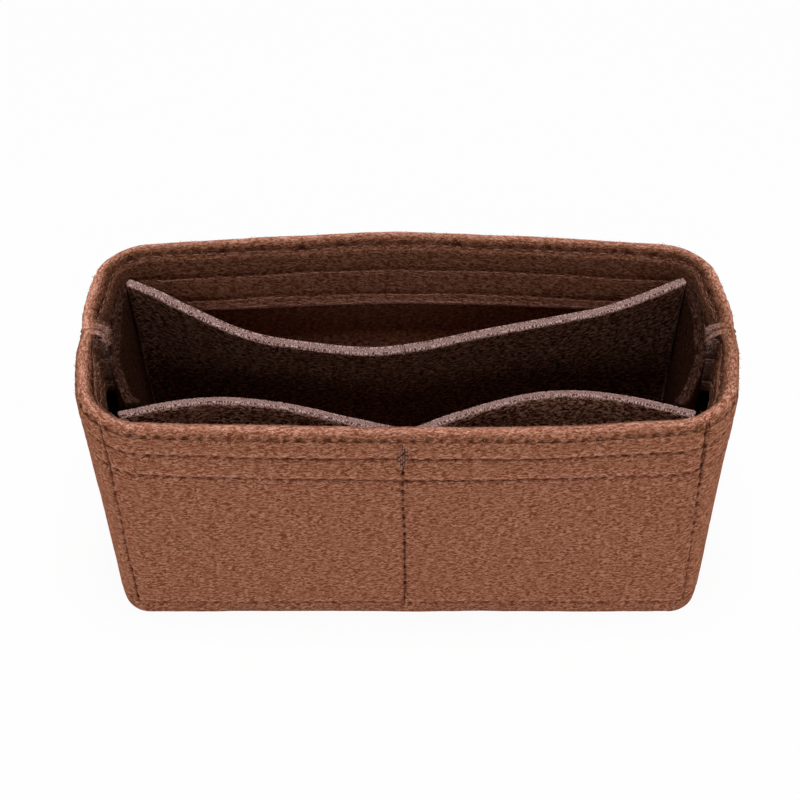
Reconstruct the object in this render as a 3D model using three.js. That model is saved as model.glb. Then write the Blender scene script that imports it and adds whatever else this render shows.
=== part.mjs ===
// Felt purse organizer insert: an open tray of soft felt that stands inside a handbag.
// Two outer wraps are folded over at the rim and meet in a seam at the middle of each end.
// A base panel with turned-up margins closes the bottom, and four inner panels are sewn in at
// the corners: one leaning divider that makes the back pocket, one bulging panel that makes
// the two front pockets, and a slim pocket panel at each end.
//
// Millimetres, +Z up, X along the length, -Y towards the front.
// The origin is the centre of the footprint, on the surface that the insert stands on.

import * as THREE from 'three';

// Felt
const feltThickness = 2.8;
const layerGap = 0.3; // air between two layers of felt that lie on each other

// Outer size
const height = 80.5;
const baseLength = 163;
const baseDepth = 64;
const baseCornerRadius = 8;
const rimLength = 175; // at the middle of the ends
const rimFrontDepth = 40.4; // from the origin to the front of the rim
const rimBackDepth = 40.4; // from the origin to the back of the rim

// The rim bows outwards: each bow is how far an edge's middle stands out past its corners
const endBow = 4;
const frontBow = 3.4;
const backBow = 6.1;
const frontBowSoftness = 2; // a high softness bends like an arc
const backBowSoftness = 0.25; // a low one like two straights with a soft bend between them
const rimFrontCornerRadius = 16;
const rimBackCornerRadius = 12.5;

// Rim hem: the wrap is folded inwards over its own edge
const hemDepth = 21.8; // from the top of the rim to the free edge of the hem
const bottomEdgeRound = 0.9;

// Side seams: the allowance of the front wrap is pressed forward on the inside of the hem
const allowanceWidth = 7;
const allowanceStandOff = 1.2;
const allowanceDrop = 2.4; // the allowance starts this far under the fold
const cutEdgeRun = 0.3;
const seamPinch = 0.6; // the seam draws the rim in by this much
const seamPinchReach = 6;

// Base panel
const marginHeight = 9;

// Back pocket panel, the divider that leans forward
const dividerHeight = 73.6;
const dividerLean = 20.8; // how far its top reaches forward of its own ends
const dividerEndSetback = 19.6; // from the back of the rim to the ends of its top edge
const dividerEndClearance = 1;

// Front pocket panel
const pocketDrop = 6; // its top edge lies this far under the top of the rim
const leftPocketBulge = 7.6;
const rightPocketBulge = 10.6;
const leftBulgeSkew = 1.35; // a skew over 1 moves the fullest place towards the corner
const rightBulgeSkew = 1.1;
const pocketEndInset = 3; // extra room between its ends and the corner of the hem
const centreSeamReach = 4.5; // half the width that the centre seam holds against the hem

// End pocket panels
const endPanelDrop = 4.5;
const endPocketMouth = 7.4; // widest gap between such a panel and the hem
const endPanelOverlap = 1.2; // how far it runs back past the divider's end

// Clearance from a panel's foot to the base panel
const footClearance = 0.4;

// Shares, chosen by hand, of the sizes that they follow
const dividerDipShares = [[0, 0], [0.06, 0.15], [0.23, 0.8], [0.41, 1], [0.67, 0.79], [1, 0]];
const endMouthShares = [[0, 0.1], [0.3, 0.26], [0.55, 0.36], [0.78, 0.78], [1, 1]];
const pocketEndAngleShare = 0.6; // of the corner's quarter turn
const darkFeltShare = 0.72; // an inner panel's colour, of the outer felt's

// Mesh counts
const endSteps = 4;
const cornerSteps = 6;
const longSteps = 12;
const capSteps = 6;
const panelColumns = 48;
const endPanelColumns = 14;
const panelRows = 5;

// The insert's plan at one height: a rectangle with round corners whose edges bow outwards

const halfOf = (length) => length / 2;

const foldRadius = feltThickness + halfOf(layerGap);
const foldHeight = height - foldRadius; // where the rim is widest

function planAt(z, towardsBack) {
  const rise = z / foldHeight;
  const rimDepth = towardsBack ? rimBackDepth - backBow : rimFrontDepth - frontBow;
  const rimRadius = towardsBack ? rimBackCornerRadius : rimFrontCornerRadius;
  return {
    halfLength: THREE.MathUtils.lerp(halfOf(baseLength), halfOf(rimLength) - endBow, rise),
    halfDepth: THREE.MathUtils.lerp(halfOf(baseDepth), rimDepth, rise),
    radius: THREE.MathUtils.lerp(baseCornerRadius, rimRadius, rise),
    endBow: endBow * rise,
    longBow: (towardsBack ? backBow : frontBow) * rise,
    softness: towardsBack ? backBowSoftness : frontBowSoftness,
    pinch: seamPinch * rise,
  };
}

const square = (value) => value * value;

// How far a bow has fallen at a share of the way from an edge's middle to its corner
function bowFall(share, softness) {
  return (Math.hypot(share, softness) - softness) / (Math.hypot(1, softness) - softness);
}

// Adds the bows of the edges and the seam's pinch to a point of the plain rectangle
function bowed(x, y, plan) {
  const outwards = plan.endBow * (1 - square(y / plan.halfDepth));
  const pinch = plan.pinch * Math.exp(-square(y / seamPinchReach));
  const along = plan.longBow * (1 - bowFall(x / plan.halfLength, plan.softness));
  return { x: x + outwards - pinch, y: y + along };
}

// The plain rectangle again, shrunk by an inset, with the centres of its corner arcs
function insetPlan(plan, inset) {
  const radius = Math.max(plan.radius - inset, layerGap);
  const centreX = plan.halfLength - inset - radius;
  const centreY = plan.halfDepth - inset - radius;
  return { radius, centreX, centreY };
}

// A station names a place on the outline of one quarter of the plan:
// stretch 'end', 'corner' or 'long', and how far along that stretch, from the end's middle
function outlinePoint(station, z, inset) {
  const plan = planAt(z, station.back > 0);
  const { radius, centreX, centreY } = insetPlan(plan, inset);
  let x = plan.halfLength - inset;
  let y = plan.halfDepth - inset;
  if (station.stretch === 'end') {
    y = THREE.MathUtils.lerp(station.start, centreY, station.along);
  } else if (station.stretch === 'corner') {
    const turn = station.along * Math.PI / 2;
    x = centreX + radius * Math.cos(turn);
    y = centreY + radius * Math.sin(turn);
  } else {
    x = centreX * (1 - station.along);
  }
  const point = bowed(x, y, plan);
  return new THREE.Vector3(station.right * point.x, station.back * point.y, z);
}

// Depth of the long face at one place along its length, and reach of the end at one depth
function longFaceDepth(x, z, inset, towardsBack) {
  const plan = planAt(z, towardsBack);
  return bowed(Math.abs(x), plan.halfDepth - inset, plan).y;
}

function endFaceReach(y, z, inset) {
  const plan = planAt(z, y > 0);
  const { radius, centreX, centreY } = insetPlan(plan, inset);
  const intoCorner = Math.max(Math.abs(y) - centreY, 0);
  const across = Math.sqrt(Math.max(square(radius) - square(intoCorner), 0));
  return bowed(centreX + across, Math.abs(y), plan).x;
}

// Stations along one quarter, from the middle of the end to the middle of the long face
function quarterStations(right, back, endPlaces) {
  const stations = endPlaces.map((place) => ({ stretch: 'end', right, back, ...place }));
  for (let i = 0; i <= cornerSteps; i += 1) {
    stations.push({ stretch: 'corner', right, back, along: i / cornerSteps });
  }
  for (let i = 1; i <= longSteps; i += 1) {
    stations.push({ stretch: 'long', right, back, along: i / longSteps });
  }
  return stations;
}

// Closed bodies built from rings of points

function meshFrom(name, positions, triangles, material) {
  const geometry = new THREE.BufferGeometry();
  geometry.setAttribute('position', new THREE.Float32BufferAttribute(positions, 3));
  geometry.setIndex(triangles);
  geometry.computeVertexNormals();
  const mesh = new THREE.Mesh(geometry, material);
  mesh.name = name;
  return mesh;
}

// Six times the signed volume: negative where the faces point inwards
function signedVolume(positions, triangles) {
  const corner = (index) => new THREE.Vector3().fromArray(positions, 3 * index);
  let sum = 0;
  for (let i = 0; i < triangles.length; i += 3) {
    const [a, b, c] = [triangles[i], triangles[i + 1], triangles[i + 2]].map(corner);
    sum += a.dot(b.cross(c));
  }
  return sum;
}

function facingOut(positions, triangles) {
  if (signedVolume(positions, triangles) > 0) {
    return triangles;
  }
  const turned = [];
  for (let i = 0; i < triangles.length; i += 3) {
    turned.push(triangles[i], triangles[i + 2], triangles[i + 1]);
  }
  return turned;
}

// Joins equal rings of points into a skin. An open row of rings gets the caps that
// capTriangles gives for one ring; a closed loop of rings needs none.
function skin(rings, loopClosed, capTriangles) {
  const size = rings[0].length;
  const positions = rings.flat().flatMap((point) => point.toArray());
  const triangles = [];
  const spans = loopClosed ? rings.length : rings.length - 1;
  for (let r = 0; r < spans; r += 1) {
    const here = r * size;
    const next = ((r + 1) % rings.length) * size;
    for (let i = 0; i < size; i += 1) {
      const j = (i + 1) % size;
      triangles.push(here + i, next + i, next + j, here + i, next + j, here + j);
    }
  }
  if (!loopClosed) {
    const last = (rings.length - 1) * size;
    for (const [a, b, c] of capTriangles) {
      triangles.push(a, b, c, last + a, last + c, last + b);
    }
  }
  return { positions, triangles: facingOut(positions, triangles) };
}

// Outer wraps

// Cross-section of a wrap: how far each point lies inside the outer face, and its height
function wrapSection(standOff) {
  const hemBottom = height - hemDepth;
  const hemInside = 2 * feltThickness + layerGap;
  const section = [[bottomEdgeRound, 0], [0, bottomEdgeRound]];
  for (let i = 0; i <= capSteps; i += 1) {
    const turn = Math.PI * (1 - i / capSteps);
    const inset = foldRadius * (1 + Math.cos(turn));
    section.push([inset, foldHeight + foldRadius * Math.sin(turn)]);
  }
  section.push([hemInside + standOff, foldHeight - allowanceDrop]);
  section.push([hemInside + standOff, hemBottom]);
  section.push([feltThickness + layerGap, hemBottom]);
  section.push([feltThickness + layerGap, foldHeight]);
  section.push([feltThickness, foldHeight]);
  section.push([feltThickness, 0]);
  return section.reverse(); // counter-clockwise, as the triangles of its caps are
}

// Where the cross-sections stand on an end of the front wrap: the pressed allowance lies
// between the seam and its cut edge, and the hem behind it runs on to the corner
function frontEndPlaces() {
  const cutEdge = halfOf(layerGap) + allowanceWidth;
  const places = [
    { start: halfOf(layerGap), along: 0, standOff: allowanceStandOff },
    { start: halfOf(cutEdge), along: 0, standOff: allowanceStandOff },
    { start: cutEdge, along: 0, standOff: allowanceStandOff },
  ];
  for (let i = 0; i < endSteps; i += 1) {
    places.push({ start: cutEdge + cutEdgeRun, along: i / endSteps, standOff: 0 });
  }
  return places;
}

function backEndPlaces() {
  const places = [];
  for (let i = 0; i <= endSteps; i += 1) {
    places.push({ start: halfOf(layerGap), along: i / (endSteps + 1), standOff: 0 });
  }
  return places;
}

function buildWrap(name, back, endPlaces, material) {
  const left = quarterStations(-1, back, endPlaces);
  const right = quarterStations(1, back, endPlaces).reverse().slice(1);
  const stations = [...left, ...right];
  const rings = stations.map((station) => (
    wrapSection(station.standOff ?? 0).map(([inset, z]) => outlinePoint(station, z, inset))
  ));
  const flat = wrapSection(0).map(([inset, z]) => new THREE.Vector2(inset, z));
  const caps = THREE.ShapeUtils.triangulateShape(flat, []);
  const { positions, triangles } = skin(rings, false, caps);
  return meshFrom(name, positions, triangles, material);
}

// Base panel: a flat floor whose margins turn up inside the wraps

function buildBase(material) {
  const outside = feltThickness + layerGap;
  const inside = outside + feltThickness;
  const levels = [
    [outside + bottomEdgeRound, 0],
    [outside, bottomEdgeRound],
    [outside, marginHeight],
    [inside, marginHeight],
    [inside, feltThickness],
  ];
  const backHalf = [
    ...quarterStations(-1, 1, [{ start: 0, along: 0 }]),
    ...quarterStations(1, 1, [{ start: 0, along: 0 }]).reverse().slice(1),
  ];
  const frontHalf = [
    ...quarterStations(1, -1, [{ start: 0, along: 0 }]).slice(1),
    ...quarterStations(-1, -1, [{ start: 0, along: 0 }]).reverse().slice(1, -1),
  ];
  const stations = [...backHalf, ...frontHalf];
  const rings = levels.map(([inset, z]) => stations.map((at) => outlinePoint(at, z, inset)));
  const size = stations.length;
  const positions = rings.flat().flatMap((point) => point.toArray());
  const triangles = [];
  for (let r = 0; r < rings.length - 1; r += 1) {
    for (let i = 0; i < size; i += 1) {
      const j = (i + 1) % size;
      const here = r * size;
      const next = here + size;
      triangles.push(here + i, next + i, next + j, here + i, next + j, here + j);
    }
  }
  const underside = rings.length * size;
  const floor = underside + 1;
  positions.push(0, 0, 0, 0, 0, feltThickness);
  const top = (rings.length - 1) * size;
  for (let i = 0; i < size; i += 1) {
    const j = (i + 1) % size;
    triangles.push(underside, i, j, floor, top + j, top + i);
  }
  return meshFrom('base_panel', positions, facingOut(positions, triangles), material);
}

// Inner panels: sheets of felt ruled from a foot line up to a top line

function buildSheet(name, footLine, topLine, material) {
  const columns = footLine.length;
  const middle = [];
  for (let r = 0; r <= panelRows; r += 1) {
    middle.push(footLine.map((foot, c) => foot.clone().lerp(topLine[c], r / panelRows)));
  }
  const at = (r, c) => middle[THREE.MathUtils.clamp(r, 0, panelRows)][
    THREE.MathUtils.clamp(c, 0, columns - 1)];
  const faceAt = (r, c, side) => {
    const along = at(r, c + 1).clone().sub(at(r, c - 1));
    const upwards = at(r + 1, c).clone().sub(at(r - 1, c));
    const normal = along.cross(upwards).normalize();
    return at(r, c).clone().addScaledVector(normal, side * halfOf(feltThickness));
  };
  // One ring goes up the back of a column of points and down its front
  const rings = [];
  const capTriangles = [];
  for (let c = 0; c < columns; c += 1) {
    const ring = [];
    for (let r = 0; r <= panelRows; r += 1) {
      ring.push(faceAt(r, c, 1));
    }
    for (let r = panelRows; r >= 0; r -= 1) {
      ring.push(faceAt(r, c, -1));
    }
    rings.push(ring);
  }
  const lastPoint = 2 * panelRows + 1;
  for (let r = 0; r < panelRows; r += 1) {
    capTriangles.push([r, r + 1, lastPoint - r], [r + 1, lastPoint - r - 1, lastPoint - r]);
  }
  const { positions, triangles } = skin(rings, false, capTriangles);
  return meshFrom(name, positions, triangles, material);
}

function shareCurve(shares) {
  return new THREE.CatmullRomCurve3(shares.map(([u, v]) => new THREE.Vector3(u, v, 0)));
}

// The value of a share curve at u, found on a fine run of its points
function shareAt(curve, u) {
  const points = curve.getPoints(panelColumns * panelRows);
  const after = points.findIndex((point) => point.x >= u);
  if (after <= 0) {
    return points[Math.max(after, 0)].y;
  }
  const [a, b] = [points[after - 1], points[after]];
  return THREE.MathUtils.lerp(a.y, b.y, (u - a.x) / (b.x - a.x));
}

// Height of a sheet's top edge when it moves sideways by run from the foot
function topHeight(foot, sheetHeight, run) {
  return foot + Math.sqrt(sheetHeight * sheetHeight - run * run);
}

const dividerEndDepth = rimBackDepth - dividerEndSetback;
const marginInside = 2 * feltThickness + layerGap;
const panelInset = marginInside + layerGap + halfOf(feltThickness); // a panel against the hem
const footHeight = feltThickness + footClearance + halfOf(feltThickness) * dividerLean
  / dividerHeight;

// Foot and top reach of an end pocket panel's middle, at a depth y
function endPanelFootX(y) {
  return endFaceReach(y, footHeight, panelInset);
}

function endPanelTopX(y, along) {
  const z = height - endPanelDrop;
  const mouth = endPocketMouth * shareAt(shareCurve(endMouthShares), along);
  return endFaceReach(y, z, marginInside + mouth + halfOf(feltThickness));
}

// Front pocket panel: sewn to the front wrap down its middle, bulging on both sides

const pocketTopHeight = height - pocketDrop;
const pocketFootDepth = longFaceDepth(0, footHeight, panelInset, false);
const dividerFootDepth = longFaceDepth(0, footHeight, panelInset, true);

function pocketEnd() {
  const corner = { stretch: 'corner', right: 1, back: -1, along: pocketEndAngleShare };
  return outlinePoint(corner, pocketTopHeight, panelInset + pocketEndInset);
}

function pocketTopDepth(x) {
  const end = pocketEnd();
  const middleDepth = longFaceDepth(0, pocketTopHeight, panelInset, false);
  const along = Math.min(Math.abs(x) / end.x, 1);
  const bulge = x < 0 ? leftPocketBulge : rightPocketBulge;
  const skew = x < 0 ? leftBulgeSkew : rightBulgeSkew;
  const held = 1 - Math.exp(-square(x / centreSeamReach));
  const fullness = held * Math.sin(Math.PI * Math.pow(along, skew));
  return THREE.MathUtils.lerp(-middleDepth, end.y, along) + bulge * fullness;
}

function buildFrontPocket(material) {
  const end = pocketEnd();
  const footReach = endPanelFootX(0) - layerGap;
  const footLine = [];
  const topLine = [];
  for (let c = 0; c <= panelColumns; c += 1) {
    const along = 2 * c / panelColumns - 1;
    footLine.push(new THREE.Vector3(along * footReach, -pocketFootDepth, footHeight));
    topLine.push(new THREE.Vector3(along * end.x, pocketTopDepth(along * end.x),
      pocketTopHeight));
  }
  return buildSheet('front_pocket_panel', footLine, topLine, material);
}

// End pocket panels: close to the hem at the back, open towards the front

function buildEndPanel(name, right, material) {
  const topZ = height - endPanelDrop;
  const frontX = endPanelTopX(-pocketFootDepth + feltThickness, 1);
  const pocketFace = pocketTopDepth(right * (frontX - halfOf(feltThickness)));
  const topFront = pocketFace + feltThickness + layerGap;
  const footFront = -pocketFootDepth + feltThickness + layerGap;
  const footBack = dividerFootDepth - halfOf(feltThickness);
  const footLine = [];
  const topLine = [];
  for (let c = 0; c <= endPanelColumns; c += 1) {
    const along = c / endPanelColumns;
    const topY = THREE.MathUtils.lerp(dividerEndDepth + endPanelOverlap, topFront, along);
    const footY = THREE.MathUtils.lerp(footBack, footFront, along);
    footLine.push(new THREE.Vector3(right * endPanelFootX(footY), footY, footHeight));
    topLine.push(new THREE.Vector3(right * endPanelTopX(topY, along), topY, topZ));
  }
  return buildSheet(name, footLine, topLine, material);
}

// Back pocket panel: its ends butt against the end pocket panels, its top leans forward

function buildDivider(material) {
  const room = halfOf(feltThickness) + dividerEndClearance;
  const footReach = endPanelFootX(0) - room;
  const topReach = endPanelTopX(dividerEndDepth, 0) - room;
  const dip = shareCurve(dividerDipShares);
  const footLine = [];
  const topLine = [];
  for (let c = 0; c <= panelColumns; c += 1) {
    const along = c / panelColumns;
    const topY = dividerEndDepth - dividerLean * shareAt(dip, along);
    const topZ = topHeight(footHeight, dividerHeight, dividerFootDepth - topY);
    footLine.push(new THREE.Vector3((2 * along - 1) * footReach, dividerFootDepth, footHeight));
    topLine.push(new THREE.Vector3((2 * along - 1) * topReach, topY, topZ));
  }
  return buildSheet('back_pocket_panel', footLine, topLine, material);
}

// Materials: one brown felt, a little deeper on the inner panels

const feltColor = new THREE.Color(0x82533f);
const outerFelt = new THREE.MeshStandardMaterial({ color: feltColor, roughness: 0.97, metalness: 0 });
const innerFelt = new THREE.MeshStandardMaterial({
  color: feltColor.clone().multiplyScalar(darkFeltShare), roughness: 0.97, metalness: 0,
});

const group = new THREE.Group();
group.add(buildWrap('front_wrap', -1, frontEndPlaces(), outerFelt));
group.add(buildWrap('back_wrap', 1, backEndPlaces(), outerFelt));
group.add(buildBase(innerFelt));
group.add(buildDivider(innerFelt));
group.add(buildFrontPocket(innerFelt));
group.add(buildEndPanel('left_pocket_panel', -1, innerFelt));
group.add(buildEndPanel('right_pocket_panel', 1, innerFelt));

export default group;
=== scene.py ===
import math
from types import SimpleNamespace

import bpy
import numpy as np
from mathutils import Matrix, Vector, noise


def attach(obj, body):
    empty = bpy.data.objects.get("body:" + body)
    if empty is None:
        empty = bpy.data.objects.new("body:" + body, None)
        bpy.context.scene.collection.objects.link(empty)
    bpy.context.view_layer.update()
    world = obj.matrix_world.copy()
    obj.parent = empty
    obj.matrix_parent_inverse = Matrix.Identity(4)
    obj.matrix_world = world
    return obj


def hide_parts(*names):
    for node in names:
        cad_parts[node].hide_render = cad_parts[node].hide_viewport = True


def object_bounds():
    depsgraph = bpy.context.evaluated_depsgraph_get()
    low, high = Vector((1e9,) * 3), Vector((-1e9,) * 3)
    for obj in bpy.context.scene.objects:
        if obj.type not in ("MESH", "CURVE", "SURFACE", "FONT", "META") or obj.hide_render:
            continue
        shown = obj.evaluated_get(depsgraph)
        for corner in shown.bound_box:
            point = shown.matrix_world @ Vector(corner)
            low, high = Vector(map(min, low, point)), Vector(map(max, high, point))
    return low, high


bl_info = {
    "name": "Felt purse organizer insert",
    "version": (1, 0, 0),
    "blender": (4, 5, 0),
    "location": "3D View > Sidebar > Felt insert",
    "description": "Sews the felt insert round its packed frame and sets it in a plain studio",
    "category": "Object",
}

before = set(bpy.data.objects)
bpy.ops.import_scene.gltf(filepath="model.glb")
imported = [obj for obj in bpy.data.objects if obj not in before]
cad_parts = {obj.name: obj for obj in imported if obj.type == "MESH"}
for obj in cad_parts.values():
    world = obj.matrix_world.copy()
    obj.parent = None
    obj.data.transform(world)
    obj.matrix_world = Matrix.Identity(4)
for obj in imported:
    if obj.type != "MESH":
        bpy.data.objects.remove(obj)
cad_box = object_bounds()

MM = 0.001
BODY = "root"
CLOTH_MAP = "cloth"
CUT_ATTRIBUTE = "cut"
# Painted shade from 0 to 1, and painted highlight below 0, held on the felt's points
PAINTED_LIGHT_ATTRIBUTE = "press_and_painted_light"
OUTWARD_ATTRIBUTE = "outward"
COLUMN_ATTRIBUTE = "column"
UP_ATTRIBUTE = "up"


# Properties that a user would change

def length(name, value, description):
    """A size in metres, for a property group."""
    return bpy.props.FloatProperty(
        name=name, description=description, default=value, unit='LENGTH', precision=5)


def share(name, value, description):
    """A plain number, for a property group."""
    return bpy.props.FloatProperty(name=name, description=description, default=value)


def colour(name, red, green, blue, description):
    """A colour written as it looks on a screen, from 0 to 255, for a property group."""
    return bpy.props.FloatVectorProperty(
        name=name, description=description, subtype='COLOR', min=0.0, max=1.0,
        default=[linear(channel / 255) for channel in (red, green, blue)])


def linear(value):
    """The linear amount of light of one screen value from 0 to 1."""
    if value <= 0.04045:
        return value / 12.92
    return ((value + 0.055) / 1.055) ** 2.4


def screen(value):
    """The screen value from 0 to 1 of a linear amount of light."""
    if value <= 0.0031308:
        return value * 12.92
    return 1.055 * value ** (1 / 2.4) - 0.055


def stepped(base, step):
    """A colour made paler or deeper by a step that is equal in its three screen values."""
    values = [min(max(screen(channel) + step, 0), 1) for channel in base]
    return (*[linear(value) for value in values], 1)


class InsertSizes(bpy.types.PropertyGroup):
    """Sizes of the insert, the same as those of its solids."""
    felt: length("Felt", 2.8 * MM, "Thickness of a layer of felt")
    gap: length("Layer gap", 0.3 * MM, "Air between two layers that lie on each other")
    height: length("Height", cad_box[1][2] - cad_box[0][2], "From the base to the top of the rim")
    base_length: length("Base length", 163 * MM, "Length of the foot")
    base_depth: length("Base depth", 64 * MM, "Depth of the foot")
    base_corner: length("Base corner", 8 * MM, "Corner radius of the foot")
    rim_length: length("Rim length", 175 * MM, "Length of the rim at the middle of its ends")
    rim_front: length("Rim front", 40.4 * MM, "From the middle to the front of the rim")
    rim_back: length("Rim back", 40.4 * MM, "From the middle to the back of the rim")
    front_corner: length("Front corner", 16 * MM, "Radius of the rim's front corners")
    back_corner: length("Back corner", 12.5 * MM, "Radius of the rim's back corners")
    end_bow: length("End bow", 4 * MM, "How far the rim's ends bow outwards")
    front_bow: length("Front bow", 3.4 * MM, "How far the rim's front bows outwards")
    back_bow: length("Back bow", 6.1 * MM, "How far the rim's back bows outwards")
    front_softness: share("Front softness", 2.0, "Over 1 the front bends like an arc")
    back_softness: share("Back softness", 0.25, "Near 0 the back bends in the middle")
    seam_pinch: length("Seam pinch", 0.9 * MM, "How far the end seams draw the rim in")
    pinch_reach: length("Pinch reach", 4.5 * MM, "How far along the rim that pinch reaches")
    hem: length("Hem", 21.8 * MM, "From the top of the rim to the hem's free edge")
    stand_off: length("Stand-off", 1.2 * MM, "How far the allowance stands off the hem")
    margin: length("Margin", 9 * MM, "Height of the base panel's turned-up margin")
    edge_round: length("Edge round", 0.8 * MM, "Radius that wear has given the cut edges")


class PanelSizes(bpy.types.PropertyGroup):
    """Sizes of the inner panels, the same as those of their solids."""
    divider_height: length("Divider height", 73.6 * MM, "Height of the back pocket panel as cut")
    divider_lean: length("Divider lean", 20.8 * MM, "How far its top reaches forward of its ends")
    divider_setback: length("Divider setback", 19.6 * MM, "From the back of the rim to its ends")
    divider_clearance: length("Divider clearance", 0.4 * MM, "Room at the divider's ends")
    pocket_drop: length("Pocket drop", 6 * MM, "The front pockets' edge lies this far down")
    left_bulge: length("Left bulge", 7.6 * MM, "How far the left front pocket stands open")
    right_bulge: length("Right bulge", 10.6 * MM, "How far the right front pocket stands open")
    left_skew: share("Left skew", 1.35, "Over 1 the left bulge is fullest near the corner")
    right_skew: share("Right skew", 1.1, "Over 1 the right bulge is fullest near the corner")
    pocket_end_inset: length("Pocket end inset", 3 * MM, "Room between the pockets and the corner")
    pocket_end_turn: share("Pocket end turn", 0.6, "Share of the corner's turn at the pockets' end")
    centre_seam: length("Centre seam", 4.5 * MM, "Half the width that the centre seam holds")
    end_drop: length("End drop", 4.5 * MM, "The end pockets' edge lies this far down")
    end_mouth: length("End mouth", 7.4 * MM, "How far the end pockets stand open")
    end_overlap: length("End overlap", 1.2 * MM, "How far they run back past the divider")
    foot_clearance: length("Foot clearance", 0.4 * MM, "From a panel's foot to the base panel")


class StitchSizes(bpy.types.PropertyGroup):
    """Sizes of the sewing thread and its stitches."""
    thread: length("Thread", 0.36 * MM, "Thickness of the sewing thread")
    pitch: length("Pitch", 3.6 * MM, "From one stitch of the long rows to the next")
    seam_pitch: length("Seam pitch", 3.9 * MM, "From one stitch of the upright seams to the next")
    stitch_share: share("Stitch share", 0.7, "Visible share of each stitch's pitch")
    groove: length("Groove", 0.65 * MM, "How deep a row of stitches draws the felt in")
    groove_reach: length("Groove reach", 0.7 * MM, "How far beside the row the felt dips")
    bottom_row: length("Bottom row", 4.8 * MM, "Height of the lowest row of stitches")


class FeltColours(bpy.types.PropertyGroup):
    """Colours of the felt and the thread."""
    outer: colour("Outer felt", 125, 79, 58, "Colour of the two outer wraps")
    inner: colour("Inner felt", 118, 72, 50, "Colour of the inner panels")
    cut: colour("Cut edge", 208, 174, 170, "Pale fibres that show where the felt is cut")
    thread: colour("Thread", 84, 44, 30, "Colour of the sewing thread on the walls")
    bobbin: colour("Bobbin thread", 140, 100, 88, "Colour of the thread that shows on the hem")
    speck: colour("Speck", 190, 150, 128, "Colour of the few pale specks in the felt")
    loose: colour("Loose fibre", 178, 132, 112, "Colour of the loose fibres")


class StudioSettings(bpy.types.PropertyGroup):
    """Light, floor and camera."""
    floor: colour("Floor", 240, 240, 240, "Colour of the floor")
    floor_size: length("Floor size", 12.0, "Width of the floor")
    key_power: share("Key power", 10.2, "Power of the large lamp overhead, in watts")
    front_power: share("Front power", 3.1, "Power of the low lamp in front, in watts")
    high_power: share("High power", 1.0, "Power of the high lamp in front, in watts")
    side_power: share("Side power", 11.8, "Power of each low lamp at the sides, in watts")
    back_power: share("Back power", 6.0, "Power of the low lamp behind, in watts")
    ambient: share("Ambient", 0.085, "Strength of the light that comes from all round")
    camera_distance: length("Camera distance", 552 * MM, "From the camera to its aim point")
    camera_elevation: bpy.props.FloatProperty(
        name="Camera elevation", description="Angle of the camera above the horizon",
        default=math.radians(45.5), subtype='ANGLE')
    camera_lens: share("Camera lens", 90.1, "Focal length in millimetres")
    camera_aim: bpy.props.FloatVectorProperty(
        name="Camera aim", description="The point at the middle of the picture",
        default=(-1.59 * MM, 0.6 * MM, 52.5 * MM), subtype='XYZ', unit='LENGTH', precision=5)


# Shares of the sizes that they follow
DIVIDER_DIP_SHARES = [(0, 0), (0.06, 0.21), (0.1, 0.38), (0.23, 0.83), (0.41, 1.03), (0.52, 0.975),
                      (0.64, 0.78), (0.83, 0.48), (0.92, 0.25), (1, 0)]
END_MOUTH_SHARES = [(0, 0.1), (0.25, 0.16), (0.42, 0.21), (0.55, 0.25), (0.78, 0.56), (1, 0.93)]

# Depths of the hem's rows of stitches under the top of the rim
FRONT_ROW_DEPTHS = (2.3 * MM, 9.6 * MM, 18.2 * MM)
BACK_ROW_DEPTHS = (1.9 * MM, 10.1 * MM, 18.2 * MM)


def insert():
    return bpy.context.scene.insert_sizes


def panels():
    return bpy.context.scene.panel_sizes


def stitches():
    return bpy.context.scene.stitch_sizes


# The plan of the insert at a height: a rectangle with round corners and bowed edges

def fold_radius():
    return insert().felt + insert().gap / 2


def fold_height():
    """Height where the rim is widest and its fold starts."""
    return insert().height - fold_radius()


def lerp(start, end, amount):
    return start + (end - start) * amount


def plan_at(z, back):
    sizes = insert()
    rise = np.asarray(z, dtype=float) / fold_height()
    rim_depth = sizes.rim_back - sizes.back_bow if back else sizes.rim_front - sizes.front_bow
    corner = sizes.back_corner if back else sizes.front_corner
    return SimpleNamespace(
        half_length=lerp(sizes.base_length / 2, sizes.rim_length / 2 - sizes.end_bow, rise),
        half_depth=lerp(sizes.base_depth / 2, rim_depth, rise),
        radius=lerp(sizes.base_corner, corner, rise),
        end_bow=sizes.end_bow * rise,
        long_bow=(sizes.back_bow if back else sizes.front_bow) * rise,
        softness=sizes.back_softness if back else sizes.front_softness,
        pinch=sizes.seam_pinch * rise)


def bow_fall(amount, softness):
    """How far a bow has fallen at a share of the way from an edge's middle to its corner."""
    return (np.hypot(amount, softness) - softness) / (np.hypot(1, softness) - softness)


def bowed(x, y, plan):
    """Adds the bows of the edges and the seam's pinch to a point of the plain rectangle."""
    towards_end = np.minimum(x / (plan.half_length - plan.radius), 1)
    outwards = plan.end_bow * (1 - (y / plan.half_depth) ** 2) * towards_end
    pinch = plan.pinch * np.exp(-(y / insert().pinch_reach) ** 2)
    along = plan.long_bow * (1 - bow_fall(x / plan.half_length, plan.softness))
    return x + outwards - pinch, y + along


def inset_plan(plan, inset):
    """Corner radius and corner centre of the plan, shrunk by an inset."""
    radius = np.maximum(plan.radius - inset, insert().gap)
    return radius, plan.half_length - inset - radius, plan.half_depth - inset - radius


def outline_runs(z, back):
    """Lengths of the long, the corner and the end stretch of a quarter of the plan."""
    plan = plan_at(z, back)
    corner = plan.radius * math.pi / 2
    end = plan.half_depth - plan.radius - insert().gap / 2
    return plan.half_length - plan.radius, corner, end


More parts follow.
